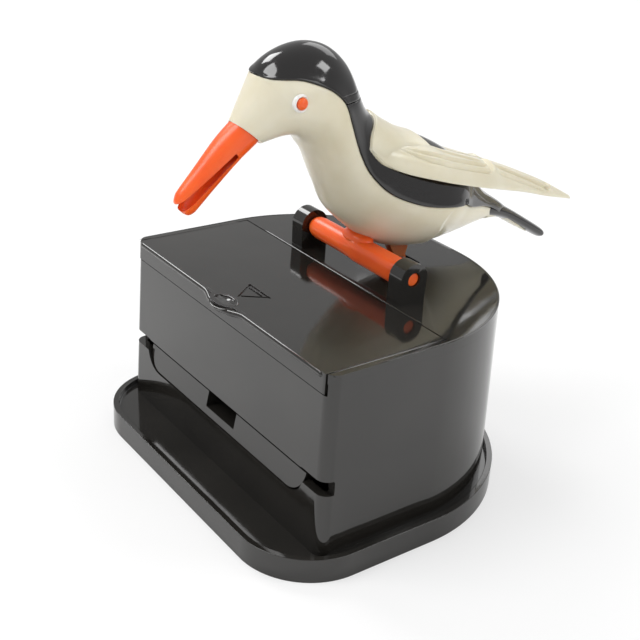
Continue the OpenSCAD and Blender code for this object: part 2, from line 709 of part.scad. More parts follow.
module body_core() {
    skin([for (s = smooth([for (i = [1 : len(BODY) - 3]) BODY[i]], 3)) body_ring(s, -shell_t, 20)]);
}

module tail_solid() {
    skin([for (s = smooth(TAIL, 3)) body_ring(s, 0, 16)]);
}

// Region of the side view that lies below and in front of the seam
module pale_side(shift) {
    line = [for (p = smooth(SEAM, 4)) [perch_y + p[0], perch_z + p[1] - shift]];
    far = 1.4 * crown_up;
    polygon(concat(line, [[perch_y + far, perch_z - far], [perch_y - far, perch_z - far],
                          [perch_y - far, line[0][1]]]));
}

module belly_shell() color(cream) place() {
    difference() {
        intersection() {
            body_solid(0);
            plate_x(-crown_up, crown_up) pale_side(seat_fit / 2);
        }
        body_core();
        beak_solid(seat_fit / 2);
        at_eyes(-1.2) cylinder(d = pupil_d + 2 * eye_ring + 2 * seat_fit, h = 4, $fn = 32);
    }
}

// Where the cap ends and the dark nape begins
module cap_side(shift) {
    translate([perch_y - crown_up, perch_z + nape_up + shift]) square(2 * crown_up);
}

module dark_solid() {
    difference() {
        union() {
            body_solid(0);
            tail_solid();
        }
        plate_x(-crown_up, crown_up) pale_side(-seat_fit / 2);
        body_core();
    }
}

module crown_cap() color(black) place() {
    intersection() {
        dark_solid();
        plate_x(-crown_up, crown_up) cap_side(seat_fit / 2);
    }
}

module back_shell() color(black) place() {
    difference() {
        dark_solid();
        plate_x(-crown_up, crown_up) cap_side(-seat_fit / 2);
    }
}

// Mantle over the shoulders with the two wings
module wings() color(cream) place() {
    difference() {
        union() {
            for (side = [-1, 1]) skin([for (s = smooth(WING, 3))
                side < 0 ? wing_ring(s, -1, 14) : [for (k = [13 : -1 : 0]) wing_ring(s, 1, 14)[k]]]);
            intersection() {
                body_solid(mantle_t + seat_fit);
                plate_x(-crown_up, crown_up)
                    polygon([for (p = smooth(MANTLE, 3)) [perch_y + p[0], perch_z + p[1]]]);
            }
        }
        body_solid(seat_fit);
    }
}

module beak_solid(grow) {
    skin([for (s = smooth(BEAK, 3)) body_ring(s, grow, 20, 1)]);
}

module beak() color(orange) place() {
    root = [perch_y + SLIT[0][0], perch_z + SLIT[0][1]];
    tip = [perch_y + SLIT[1][0], perch_z + SLIT[1][1]];
    across = [-(tip - root)[1], (tip - root)[0]] / norm(tip - root);
    difference() {
        beak_solid(0);
        plate_x(-crown_up, crown_up)
            polygon([root - 0.2 * across, root + 0.2 * across, tip + jaw_gap / 2 * across,
                     tip - jaw_gap / 2 * across]);
    }
}

// Places the children on the two sides of the head, their Z axis outwards
module at_eyes(sink) {
    for (s = [-1, 1]) translate([s * (bird_size * eyes_apart / 2 + sink), perch_y + EYE[0], perch_z + EYE[1]])
        rotate([0, s * 90, 0]) children();
}

module eye_rings() color("white") place() {
    at_eyes(-1.1) difference() {
        cylinder(d = pupil_d + 2 * eye_ring, h = 1.3, $fn = 32);
        translate([0, 0, -1]) cylinder(d = pupil_d, h = 4, $fn = 32);
    }
}

module eye_pupils() color(orange) place() {
    at_eyes(-1.1) cylinder(d = pupil_d - 2 * seat_fit, h = 1.5, $fn = 32);
}

base_plate();
box_shell();
top_cover();
lid();
hopper_chute();
hopper_back();
tray_rail(-1);  // tray_rail_left
tray_rail(1);  // tray_rail_right
toothpick_tray();
rocker_bracket();
rocker_axle();
rocker();
return_spring();
link_wire();
base_screws();
perch_rod();
perch_saddle();
lever();
belly_shell();
crown_cap();
back_shell();
wings();
beak();
eye_rings();
eye_pupils();
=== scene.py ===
"""A toothpick dispenser with a bowing bird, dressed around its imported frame. Metres, +Z up, +Y towards the back."""

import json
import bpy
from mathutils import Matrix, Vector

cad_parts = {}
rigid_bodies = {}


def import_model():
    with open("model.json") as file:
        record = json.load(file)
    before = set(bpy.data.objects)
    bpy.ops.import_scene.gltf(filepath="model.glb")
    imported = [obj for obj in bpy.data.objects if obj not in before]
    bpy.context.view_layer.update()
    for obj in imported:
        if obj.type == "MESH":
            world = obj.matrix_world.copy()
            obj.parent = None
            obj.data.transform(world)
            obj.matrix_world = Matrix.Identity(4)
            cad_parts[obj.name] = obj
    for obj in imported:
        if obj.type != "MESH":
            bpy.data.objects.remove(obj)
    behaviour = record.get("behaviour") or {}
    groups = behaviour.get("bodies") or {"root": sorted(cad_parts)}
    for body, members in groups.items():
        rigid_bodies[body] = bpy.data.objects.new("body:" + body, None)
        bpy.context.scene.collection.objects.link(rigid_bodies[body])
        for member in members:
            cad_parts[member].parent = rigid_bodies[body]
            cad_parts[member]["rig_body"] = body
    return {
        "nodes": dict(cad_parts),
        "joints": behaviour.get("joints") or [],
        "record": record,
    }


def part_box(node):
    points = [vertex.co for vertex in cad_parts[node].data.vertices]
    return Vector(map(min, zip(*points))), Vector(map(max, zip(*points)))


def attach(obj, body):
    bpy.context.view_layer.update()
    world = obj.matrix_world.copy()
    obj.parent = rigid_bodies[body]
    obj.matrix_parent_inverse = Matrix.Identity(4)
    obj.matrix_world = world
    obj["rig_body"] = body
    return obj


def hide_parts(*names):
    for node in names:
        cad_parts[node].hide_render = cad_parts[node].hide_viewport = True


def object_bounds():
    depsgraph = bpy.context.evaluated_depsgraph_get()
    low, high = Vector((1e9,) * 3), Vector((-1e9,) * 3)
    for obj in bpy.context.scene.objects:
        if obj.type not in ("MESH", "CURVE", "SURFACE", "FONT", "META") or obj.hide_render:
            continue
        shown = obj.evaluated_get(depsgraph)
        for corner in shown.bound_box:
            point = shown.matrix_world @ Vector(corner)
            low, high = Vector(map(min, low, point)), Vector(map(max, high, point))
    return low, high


bl_info = {
    "name": "Toothpick Dispenser",
    "version": (1, 0, 0),
    "blender": (4, 5, 0),
    "location": "View3D > Sidebar > Dispenser",
    "description": "Builds the dispenser's pieces, finishes, stage and camera around its frame",
    "category": "Add Mesh",
}

import bmesh
import bpy
import numpy as np
from mathutils import Matrix, Vector

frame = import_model()
CAD_BOX = [list(map(float, corner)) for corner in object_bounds()]
SLOTS = {part["node"]: part["material_slot"] for part in frame["record"]["subparts"]}
JOINTS = {joint["name"]: joint for joint in frame["joints"]}
PERCH = np.array(JOINTS["bird_bow"]["pos_m"])
MM = 0.001

# Stations of the bird, counted from the perch's axis in millimetres: back, up, lean in degrees, half height and
# half width
BODY = [[-29.2, 29.3, 141, 3.7, 3.9], [-24.8, 32.6, 132, 6.2, 6.2], [-20.9, 34.9, 115, 9.1, 8.1],
        [-15.5, 35.3, 90, 10.6, 8.9], [-10.9, 32.1, 76, 10.8, 8.6], [-6.2, 23.7, 64, 9.6, 8.7],
        [-0.2, 17.8, 53, 11.0, 10.2], [9.8, 12.1, 59, 12.7, 11.7], [17.9, 9.0, 60, 11.5, 11.8],
        [25.0, 6.9, 67, 8.6, 8.9], [33.7, 4.4, 74, 4.5, 5.5], [41.5, 2.4, 81, 1.9, 2.8], [46.0, 1.0, 84, 0.3, 0.6]]
# Seam between the pale and the dark shell: back, up
SEAM = [[-29.8, 42.2], [-28.4, 40.7], [-26.6, 40.2], [-24.5, 40.3], [-21.8, 40.3], [-19.3, 39.7], [-15.2, 38.0],
        [-11.6, 35.0], [-9.5, 30.3], [-7.0, 24.3], [-4.1, 19.4], [0.9, 15.0], [9.0, 11.7], [18.1, 10.1],
        [22.5, 9.4], [25.9, 7.8], [32.6, 6.0], [37.5, 3.9], [41, 1.4], [46, -2.2], [60, -13]]
# Stations of the tail
TAIL = [[26, 7.0, 75, 3.2, 5.0], [36, 3.8, 72, 2.2, 4.2], [44, 0.9, 66, 1.5, 3.2], [52, -3.4, 62, 1.3, 2.7],
        [57.4, -6.5, 60, 1.15, 2.2], [58.3, -7.0, 60, 0.75, 1.7], [58.7, -7.2, 60, 0.15, 1.0]]
# Stations of the pale wedge under the root of the tail
WEDGE = [[36.5, 2.2, 76, 1.4, 3.4], [42, 1.0, 72, 0.65, 2.6], [45, -0.75, 68, 0.6, 2.3], [49, -3.05, 63, 0.5, 1.8],
         [52.6, -5.3, 60, 0.15, 1.1]]
# Stations of the beak
BEAK = [[-27.4, 31.6, 140, 3.0, 3.2], [-29.3, 29.6, 139, 3.3, 3.5], [-33.2, 26.25, 136, 3.2, 3.1],
        [-38.05, 21.25, 134, 2.9, 2.6], [-41.5, 17.6, 134, 2.8, 2.2], [-42.4, 16.55, 134, 2.6, 1.85],
        [-43.0, 15.9, 134, 2.05, 1.35], [-43.25, 15.65, 134, 1.1, 0.7]]
# Slit between the jaws: its line from root to tip, and its half width at both ends
SLIT = [[-32.5, 25.9], [-45.4, 15.0]]
SLIT_WIDE = [0.6, 1.0]
# Cut between crown and back: its level, half its gap, and how high and how far in its edges roll
NAPE_UP, NAPE_GAP, NAPE_ROLL, NAPE_IN, NAPE_INNER = 35, 0.08, 0.15, 0.985, 0.92
# Scored line above that cut: its level, half width, and depth as a share
SCORE_UP, SCORE_HALF, SCORE_DEPTH = 1.45, 0.15, 0.025
# How deep the borders of the bird's shells turn in, and the radius of their edges
SHELL_DEEP, SHELL_EDGE = 0.7, 0.3
# Radius of the thin beads on the cover's edges, how deep their middles lie, and how far the box's top stands in
THIN, THIN_DEEP, DRAFT_TOP = 0.35, 0.7, 0.4
# Width of the box's flat back
BACK_FLAT = 6
# Thumb tab of the lid: how far out, its middle and half width; radius of the bead along the lid's front
TAB_OUT, TAB_MIDDLE, TAB_HALF, BEAD = 1.8, 0.4, 6.2, 0.6
# Thumb dish: its middle behind the tab's edge, half length, half width and half thickness of its rim
DISH = [2.35, 3.4, 2.35, 0.4]
# How deep the dish's bowl is, how high the bumps in it, and how far its rim falls towards the tab's edge
BOWL_DEEP, BUMP_HIGH, DISH_FALL = 0.45, 0.07, 0.22
# How far the lip of the tray stands below its deck, how thick it is with its slope, and the slope of its face
LIP_DROP, LIP_BACK, LIP_FACE, LIP_LEAN = 1.0, 2.2, 1.3, 1.2 / 6.1
# Radius and end rounding of the perch's pins, and the width of an ear with its play
PIN, PIN_END, EAR = 1.5, 0.2, 4.2
# Saddle under the belly: half length, half width, half height, and its middle (sideways, back, up)
SADDLE, SADDLE_AT = [4.6, 2.5, 2.0], [0.2, 0.6, 2.1]
# Shares of the solid eyes' radii in the ring and the middle, and how far the middle bulges out of the ring
EYE_RING, EYE_DOT, DOME_UP = 0.93, 0.84, 0.8
# Creases across the wing: where, and the shares between which they run
CREASES = [[33.8, 0.0, 0.95], [56.3, -0.3, 0.7]]
# Sections of a furrow and a crease: half width of the hollow, then height, offset and half width of the swell by it
FURROW_SHAPE, CREASE_SHAPE = [0.36, 0.4, 0.8, 0.5], [0.45, 0.9, 1.3, 0.7]
# Stations of one wing: back, inner edge (sideways, up), outer edge (sideways, up), arch, thickness
WING = [[-4.5, 8.2, 26.0, 9.2, 24.9, 0, 0.3], [-1, 7.0, 26.0, 10.0, 21.7, 0.2, 0.6],
        [4, 4.8, 24.5, 11.0, 19.3, 1.5, 1.0], [12.6, 2.4, 22.4, 12.6, 16.9, 1.9, 1.8],
        [18.3, 1.6, 20.6, 12.0, 15.2, 1.5, 1.8], [28.4, 1.1, 17.4, 9.8, 12.2, 0.9, 1.6],
        [36, 1.0, 15.0, 7.4, 9.9, 0.6, 1.5], [46, 0.8, 11.3, 5.0, 7.0, 0.4, 1.2],
        [56.4, 0.7, 6.9, 3.0, 3.7, 0.2, 0.9], [66.7, 0.5, 1.6, 1.3, 0.9, 0, 0.5]]
# Borders of the mantle in the side view: its front, lower and rear edges
MANTLE_FRONT = [[2.6, 31.0], [0.4, 30.3], [-2.6, 29.0], [-4.3, 27.5], [-5.0, 25.0]]
MANTLE_LOW = [[-5.0, 25.0], [-2.3, 22.0], [1.0, 20.3], [5.9, 18.5], [12, 16.8], [17.4, 15.4]]
MANTLE_REAR = [[11.8, 25.0], [13.6, 22.6], [15.9, 19.4], [17.4, 15.4]]
# Length and depth of the mantle, and the width of its pillowed border
MANTLE_LONG, MANTLE_DEEP, MANTLE_EDGE = 16, 17, 0.5
# Line on the rear of the belly behind which its surface steps in: back, up; the step's depth and softness
RUMP_STEP = [[14.9, -5.0], [15.0, 4.7], [15.3, 7.1], [16.7, 9.0], [18.9, 9.8], [21.7, 10.4]]
RUMP_DEEP, RUMP_SOFT = 0.5, 0.22
# Notch in the lower edge of the back: back, up, radius
NOTCH = [21.7, 10.2, 0.75]
# Furrows of the wing: how far back their points lie, the share of each point from the outer edge (-1) to the inner
# (1), and their strength
FURROWS = [[[3, 6.9, 10.2, 14.7, 21.7, 27.7, 33], [0.3, -0.17, -0.4, -0.47, -0.39, -0.31, -0.2], 1.0],
           [[4.5, 8.9, 14.3, 20.9, 29.6, 33], [0.3, -0.05, -0.18, -0.09, 0.12, 0.2], 0.9],
           [[14, 20, 33], [0.35, 0.35, 0.5], 0.5],
           [[35.5, 45.3, 58], [0.5, 0.15, -0.05], 0.9], [[35.5, 44.5, 56], [-0.1, -0.29, -0.47], 0.7]]
# Camera: azimuth, elevation and roll in degrees, place in metres, and focal length, centre and frame in pixels
CAMERA_TURN, CAMERA_AT = [52.61, 24.24, 3.83], (0.17479, -0.13439, 0.13924)
FOCAL, CENTRE, FRAME = 1111.65, (323.93, 288.59), 640


# ---------------------------------------------------------------- surfaces

def curve_through(rows, per):
    """Catmull-Rom curve: each span is the cubic whose end slopes are half the step between neighbours."""
    r = np.asarray(rows, float)
    e = np.vstack([2 * r[0] - r[1], r, 2 * r[-1] - r[-2]])
    a, b, c, d = (e[i:len(e) - 3 + i][:, None] for i in range(4))
    t = (np.arange(per) / per)[None, :, None]
    spans = 0.5 * (2 * b + (c - a) * t + (2 * a - 5 * b + 4 * c - d) * t ** 2 + (3 * b - a - 3 * c + d) * t ** 3)
    return np.vstack([spans.reshape(-1, r.shape[1]), r[-1:]])


def along(rows, s):
    """Rows read at fractional places s, straight between neighbours."""
    r = np.asarray(rows, float)
    i = np.clip(np.floor(s).astype(int), 0, len(r) - 2)
    f = np.clip(s - i, 0, 1)[..., None]
    return r[i] * (1 - f) + r[i + 1] * f


def resample(rows, count):
    """The same curve with count points at even steps of its length."""
    r = np.asarray(rows, float)
    steps = np.linalg.norm(np.diff(r, axis=0), axis=1)
    run = np.concatenate([[0], np.cumsum(steps)])
    at = np.linspace(0, run[-1], count)
    return np.stack([np.interp(at, run, r[:, k]) for k in range(r.shape[1])], 1)


def section(rows, theta, grow):
    """Points at angle theta round leaning ellipses.

    Each lies w sin(theta) sideways, and h cos(theta) along the lean from the middle, both longer by grow.
    """
    back, up, lean, h, w = (rows[..., k] for k in range(5))
    lean = np.radians(lean)
    u = (h + grow) * np.cos(theta)
    return np.stack([(w + grow) * np.sin(theta), back + u * np.cos(lean), up + u * np.sin(lean)], -1)


def from_perch(points):
    """Millimetres from the perch's axis to metres in the frame."""
    return points * MM + np.array([0, PERCH[1], PERCH[2]])


def grid_quads(rows, cols, close=False):
    """Corner numbers of the faces of a grid whose second direction may close on itself."""
    i = np.arange(rows - 1)[:, None] * cols
    j = np.arange(cols if close else cols - 1)[None, :]
    k = (j + 1) % cols
    return np.stack([i + j, i + k, i + cols + k, i + cols + j], -1).reshape(-1, 4)


def caps(rows, cols):
    """Corner numbers of the faces that close both ends of a grid."""
    return [range(cols), range(rows * cols - 1, (rows - 1) * cols - 1, -1)]


def placed(name, data):
    """A new object of the scene with this data."""
    piece = bpy.data.objects.new(name, data)
    bpy.context.scene.collection.objects.link(piece)
    return piece


def mesh_object(name, points, quads, fans=()):
    """An object from a point array, a quad array and lists of corners for end caps, in smooth shading."""
    points = np.asarray(points, float).reshape(-1, 3)
    mesh = bpy.data.meshes.new(name)
    mesh.from_pydata(points.tolist(), [], np.asarray(quads).tolist() + [list(map(int, f)) for f in fans])
    mesh.validate()
    mesh.polygons.foreach_set("use_smooth", np.ones(len(mesh.polygons), bool))
    mesh.update()
    return placed(name, mesh)


def swept(name, line, radius, around=16):
    """A tube along a line: each ring is line + radius (cos(t) sideways + sin(t) up), with the ends drawn in."""
    line = np.asarray(line, float)
    run = np.gradient(line, axis=0)
    sideways = np.stack([run[:, 1], -run[:, 0]], 1) / np.linalg.norm(run[:, :2], axis=1)[:, None]
    t = np.linspace(0, 2 * np.pi, around, endpoint=False)
    size = np.full(len(line), radius)
    size[[0, -1]] *= 0.1
    rise = np.tile(np.sin(t)[:, None], (len(line), 1, 1))
    ring = np.concatenate([sideways[:, None] * np.cos(t)[:, None], rise], -1)
    return mesh_object(name, line[:, None] + ring * size[:, None, None], grid_quads(len(line), around, True))


def merge_close(piece, gap=1e-6):
    """Merges points nearer than gap and drops faces that have shrunk to a line."""
    bm = bmesh.new()
    bm.from_mesh(piece.data)
    bmesh.ops.remove_doubles(bm, verts=bm.verts, dist=gap)
    bmesh.ops.dissolve_degenerate(bm, dist=gap, edges=bm.edges)
    bm.to_mesh(piece.data)
    bm.free()
    return piece


def applied(piece):
    """The piece with its modifiers worked into its mesh."""
    graph = bpy.context.evaluated_depsgraph_get()
    mesh = bpy.data.meshes.new_from_object(piece.evaluated_get(graph))
    piece.modifiers.clear()
    piece.data = mesh
    return piece


def joined(name, pieces):
    """One object out of several."""
    bm = bmesh.new()
    for p in pieces:
        bm.from_mesh(p.data)
        bpy.data.objects.remove(p)
    mesh = bpy.data.meshes.new(name)
    bm.to_mesh(mesh)
    bm.free()
    return placed(name, mesh)


def cut_away(piece, cutter):
    """Takes the cutter's space out of the piece."""
    m = piece.modifiers.new("cut", "BOOLEAN")
    m.operation, m.solver, m.object = "DIFFERENCE", "EXACT", cutter
    applied(piece)
    bpy.data.objects.remove(cutter)
    return piece


def soften(piece, width, angle=32, segments=2):
    """Rounds the piece's sharp edges by width."""
    m = piece.modifiers.new("round", "BEVEL")
    m.width, m.segments, m.limit_method, m.angle_limit = width, segments, "ANGLE", np.radians(angle)
    m.use_clamp_overlap, m.harden_normals, m.miter_outer = True, False, "MITER_ARC"
    applied(piece)
    w = piece.modifiers.new("flat faces", "WEIGHTED_NORMAL")
    w.keep_sharp, w.weight = True, 80
    piece.data.polygons.foreach_set("use_smooth", np.ones(len(piece.data.polygons), bool))
    piece.data.set_sharp_from_angle(angle=np.radians(50))
    return applied(piece)


def moulded(node, width, shape=None):
    """A copy of a moulded solid with its flat faces whole and its edges rounded; shape moves its points first."""
    piece = placed(node + "_moulded", frame["nodes"][node].data.copy())
    bm = bmesh.new()
    bm.from_mesh(piece.data)
    bmesh.ops.remove_doubles(bm, verts=bm.verts, dist=2e-6)
    bmesh.ops.dissolve_degenerate(bm, dist=2e-6, edges=bm.edges)
    bmesh.ops.dissolve_limit(bm, angle_limit=np.radians(0.6), verts=bm.verts, edges=bm.edges)
    bm.to_mesh(piece.data)
    bm.free()
    for layer in list(piece.data.attributes):
        if layer.name == "custom_normal":
            piece.data.attributes.remove(layer)
    if shape:
        co = np.empty(len(piece.data.vertices) * 3)
        piece.data.vertices.foreach_get("co", co)
        piece.data.vertices.foreach_set("co", shape(co.reshape(-1, 3)).ravel())
    soften(piece, width)
    return dress(piece, node)


def dress(piece, *nodes):
    """Lets the piece stand for its solids and ride on their body in their finish."""
    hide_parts(*nodes)
    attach(piece, frame["nodes"][nodes[0]]["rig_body"])
    piece.data.materials.clear()
    piece.data.materials.append(finish(SLOTS[nodes[0]]))
    return piece


# ---------------------------------------------------------------- finishes

def shader(name, colour, rough, **sockets):
    """A new material whose shader has these plain values."""
    m = bpy.data.materials.new(name)
    m.use_nodes = True
    p = m.node_tree.nodes["Principled BSDF"]
    p.inputs["Base Color"].default_value = (*colour, 1)
    p.inputs["Roughness"].default_value = rough
    for socket, value in sockets.items():
        p.inputs[socket.replace("_", " ")].default_value = value
    return m, m.node_tree, p


def noise(tree, scale, detail=3, offset=0):
    """A noise pattern on the piece's own coordinates."""
    at = tree.nodes.new("ShaderNodeTexCoord")
    move = tree.nodes.new("ShaderNodeMapping")
    move.inputs["Location"].default_value = (offset, offset * 0.7, offset * 1.3)
    n = tree.nodes.new("ShaderNodeTexNoise")
    n.inputs["Scale"].default_value = scale
    n.inputs["Detail"].default_value = detail
    tree.links.new(at.outputs["Object"], move.inputs["Vector"])
    tree.links.new(move.outputs[0], n.inputs["Vector"])
    return n.outputs["Fac"]


def ramp(tree, value, stops, socket):
    """Leads colours or greys chosen by a value into a socket."""
    r = tree.nodes.new("ShaderNodeValToRGB")
    while len(r.color_ramp.elements) < len(stops):
        r.color_ramp.elements.new(0.5)
    for e, (at, c) in zip(r.color_ramp.elements, stops):
        e.position = at
        e.color = (*c, 1) if hasattr(c, "__len__") else (c, c, c, 1)
    tree.links.new(value, r.inputs[0])
    tree.links.new(r.outputs[0], socket)


def bumped(tree, p, *layers):
    """Adds height patterns one on another: each layer is a value, its strength and its depth in metres."""
    last = None
    for value, strength, depth in layers:
        b = tree.nodes.new("ShaderNodeBump")
        b.inputs["Strength"].default_value = strength
        b.inputs["Distance"].default_value = depth
        tree.links.new(value, b.inputs["Height"])
        if last:
            tree.links.new(last, b.inputs["Normal"])
        last = b.outputs[0]
    tree.links.new(last, p.inputs["Normal"])


def moulded_black(name, colour, rough):
    """Polished black plastic: slow waves of the mould, fine dust and a slightly uneven polish."""
    m, tree, p = shader(name, colour, rough, IOR=1.62)
    tones = [(0.3, [c * 0.8 for c in colour]), (0.75, [c * 1.25 for c in colour])]
    ramp(tree, noise(tree, 60, 4), tones, p.inputs["Base Color"])
    ramp(tree, noise(tree, 900, 4, 3), [(0.35, rough * 0.75), (0.8, rough * 1.5)], p.inputs["Roughness"])
    bumped(tree, p, (noise(tree, 45, 2, 1), 0.25, 0.0004), (noise(tree, 2600, 2, 5), 0.12, 0.00002))
    return m


def moulded_cream(name, colour):
    """Ivory plastic that lets a little light in, with a darker, warmer tone spread at random and faint flow marks."""
    m, tree, p = shader(name, colour, 0.3, IOR=1.5)
    p.inputs["Subsurface Weight"].default_value = 0.12
    p.inputs["Subsurface Radius"].default_value = (1.0, 0.7, 0.4)
    p.inputs["Subsurface Scale"].default_value = 0.002
    p.inputs["Coat Weight"].default_value = 0.25
    p.inputs["Coat Roughness"].default_value = 0.12
    dark = [colour[0] * 0.9, colour[1] * 0.87, colour[2] * 0.78]
    ramp(tree, noise(tree, 90, 5), [(0.3, dark), (0.7, colour)], p.inputs["Base Color"])
    bumped(tree, p, (noise(tree, 160, 3, 2), 0.3, 0.00025), (noise(tree, 1800, 2, 6), 0.15, 0.00002))
    return m


def moulded_orange(name, colour, rough):
    """Orange plastic with paler flow marks and a soft polish."""
    m, tree, p = shader(name, colour, rough, IOR=1.5)
    p.inputs["Subsurface Weight"].default_value = 0.3
    p.inputs["Subsurface Radius"].default_value = (1.0, 0.35, 0.1)
    p.inputs["Subsurface Scale"].default_value = 0.003
    pale = [min(1, colour[0] * 1.05), colour[1] * 1.35, colour[2] * 1.6]
    ramp(tree, noise(tree, 140, 4), [(0.35, colour), (0.75, pale)], p.inputs["Base Color"])
    bumped(tree, p, (noise(tree, 220, 3, 4), 0.3, 0.0002), (noise(tree, 1500, 2, 7), 0.15, 0.00002))
    return m


def drawn_steel(name, colour):
    """Bright drawn wire with fine lines and a little tarnish."""
    m, tree, p = shader(name, colour, 0.28, Metallic=1.0)
    ramp(tree, noise(tree, 400, 4), [(0.3, [c * 0.7 for c in colour]), (0.7, colour)], p.inputs["Base Color"])
    ramp(tree, noise(tree, 2200, 3, 2), [(0.3, 0.2), (0.8, 0.42)], p.inputs["Roughness"])
    bumped(tree, p, (noise(tree, 3000, 2, 5), 0.2, 0.00001))
    return m


_finishes = {}


def finish(slot):
    """The finish of one of the record's material slots, made once."""
    look = bpy.context.scene.dispenser_looks
    makers = {
        "black_plastic": lambda: moulded_black("black plastic", look.box_colour[:], look.box_rough),
        "inner_black": lambda: moulded_black("inner black plastic", look.box_colour[:], look.box_rough * 1.6),
        "bird_black": lambda: moulded_black("bird black plastic", look.bird_black[:], 0.1),
        "cream_plastic": lambda: moulded_cream("ivory plastic", look.bird_cream[:]),
        "orange_plastic": lambda: moulded_orange("orange plastic", look.beak_colour[:], 0.3),
        "lever_orange": lambda: moulded_orange("brown orange plastic", look.lever_colour[:], 0.4),
        "eye_white": lambda: moulded_cream("white plastic", (0.86, 0.85, 0.82)),
        "steel": lambda: drawn_steel("drawn steel", (0.62, 0.62, 0.63)),
    }
    if slot not in _finishes:
        _finishes[slot] = makers[slot]()
    return _finishes[slot]


# ---------------------------------------------------------------- the bird's surface

ROWS = curve_through(BODY, 30)
SEAM_LINE = curve_through(SEAM, 12)


def seam_angle(rows):
    """Angle from the top at which each section meets the seam: 0 where it is all pale, pi where it is all dark."""
    u = np.linspace(1, -1, 401)
    lean = np.radians(rows[:, 2])[:, None]
    back = rows[:, 0][:, None] + u * rows[:, 3][:, None] * np.cos(lean)
    up = rows[:, 1][:, None] + u * rows[:, 3][:, None] * np.sin(lean)
    above = up - np.interp(back, SEAM_LINE[:, 0], SEAM_LINE[:, 1])
    dark = above > 0
    first = np.argmin(dark, axis=1)
    first = np.where(dark.all(axis=1), 400, first)
    k = np.clip(first, 1, 400)
    a, b = above[np.arange(len(rows)), k - 1], above[np.arange(len(rows)), k]
    share = np.where(np.abs(a - b) > 1e-9, a / (a - b), 0)
    place = u[k - 1] + np.clip(share, 0, 1) * (u[k] - u[k - 1])
    angle = np.arccos(np.clip(place, -1, 1))
    angle = np.where(first == 0, 0, angle)
    return np.where(dark.all(axis=1), np.pi, angle)


def shell_grid(rows, start, stop, cols, relief, rim=0.0):
    """Sections drawn only from start to stop, with both borders turned in over a small round edge.

    Where the section is whole, so that both borders meet, nothing is turned in. relief gives a height for each
    place, and rim how far the surface rises towards its borders.
    """
    whole = 2 * np.pi - (stop - start)
    open_share = np.clip(whole * rows[:, 4] / 1.2, 0, 1) * np.clip((stop - start) * rows[:, 4] / 1.2, 0, 1)
    inner = np.linspace(0, 1, cols - 8)
    edge = SHELL_EDGE / np.maximum(rows[:, 3], 0.6)[:, None]
    lo, hi = start[:, None], stop[:, None]
    lip = np.minimum(edge, (hi - lo) / 3)
    theta = lo + lip + (hi - lo - 2 * lip) * inner[None, :]
    theta = np.concatenate([lo, lo, lo + lip * 0.12, lo + lip * 0.45, theta,
                            hi - lip * 0.45, hi - lip * 0.12, hi, hi], 1)
    grow = np.zeros(cols)
    grow[:4] = [-SHELL_DEEP, -SHELL_EDGE, -0.13, -0.03]
    grow[-4:] = grow[3::-1]
    near = np.minimum(theta - lo, hi - theta) * np.maximum(rows[:, 3], 0.6)[:, None]
    grow = (grow[None, :] + rim * np.exp(-(near / 1.6) ** 2)) * open_share[:, None]
    stack = rows[:, None, :].repeat(cols, 1)
    flat = section(stack, theta, 0)
    return section(stack, theta, grow + relief(flat[..., 1], flat[..., 2]))


def place_on_body(points):
    """For side-view points: the fractional section number, and the angle from the top at which the body passes."""
    pts = np.atleast_2d(np.asarray(points, float))
    lean = np.radians(ROWS[:, 2])
    d = np.stack([np.cos(lean), np.sin(lean)], 1)
    q = pts[:, None, :] - ROWS[None, :, :2]
    cross = q[..., 0] * d[:, 1] - q[..., 1] * d[:, 0]
    u = (q * d).sum(-1) / ROWS[:, 3]
    change = (cross[:, :-1] * cross[:, 1:] <= 0) & (np.abs(u[:, :-1]) < 1.25)
    i = np.argmax(change, axis=1)
    n = np.arange(len(pts))
    f = cross[n, i] / (cross[n, i] - cross[n, i + 1] + 1e-12)
    place = i + np.clip(f, 0, 1)
    share = u[n, i] * (1 - f) + u[n, i + 1] * f
    return place, np.arccos(np.clip(share, -1, 1))


def closed_loft(name, rows, around):
    """A closed skin over whole sections with rounded ends."""
    theta = np.linspace(0, 2 * np.pi, around, endpoint=False)
    p = section(rows[:, None, :].repeat(around, 1), theta[None, :], 0)
    return mesh_object(name, from_perch(p), grid_quads(len(rows), around, True), caps(len(rows), around))


# ---------------------------------------------------------------- operators

class DispenserLooks(bpy.types.PropertyGroup):
    """Colours and polish that a user would change."""
    box_colour: bpy.props.FloatVectorProperty(
        name="Box colour", description="Colour of the black box", subtype="COLOR", size=3,
        default=(0.015, 0.0138, 0.012), min=0, max=1)
    box_rough: bpy.props.FloatProperty(
        name="Box roughness", description="Roughness of the box's polish", subtype="FACTOR",
        default=0.075, min=0, max=1)
    bird_black: bpy.props.FloatVectorProperty(
        name="Bird black", description="Colour of the cap, nape, back and tail", subtype="COLOR", size=3,
        default=(0.006, 0.005, 0.005), min=0, max=1)
    bird_cream: bpy.props.FloatVectorProperty(
        name="Bird ivory", description="Colour of the pale shells and wings", subtype="COLOR", size=3,
        default=(0.76, 0.715, 0.57), min=0, max=1)
    beak_colour: bpy.props.FloatVectorProperty(
        name="Beak orange", description="Colour of the beak, the perch and the eyes", subtype="COLOR", size=3,
        default=(0.88, 0.105, 0.012), min=0, max=1)
    lever_colour: bpy.props.FloatVectorProperty(
        name="Lever orange", description="Colour of the lever and the rocker", subtype="COLOR", size=3,
        default=(0.42, 0.11, 0.03), min=0, max=1)


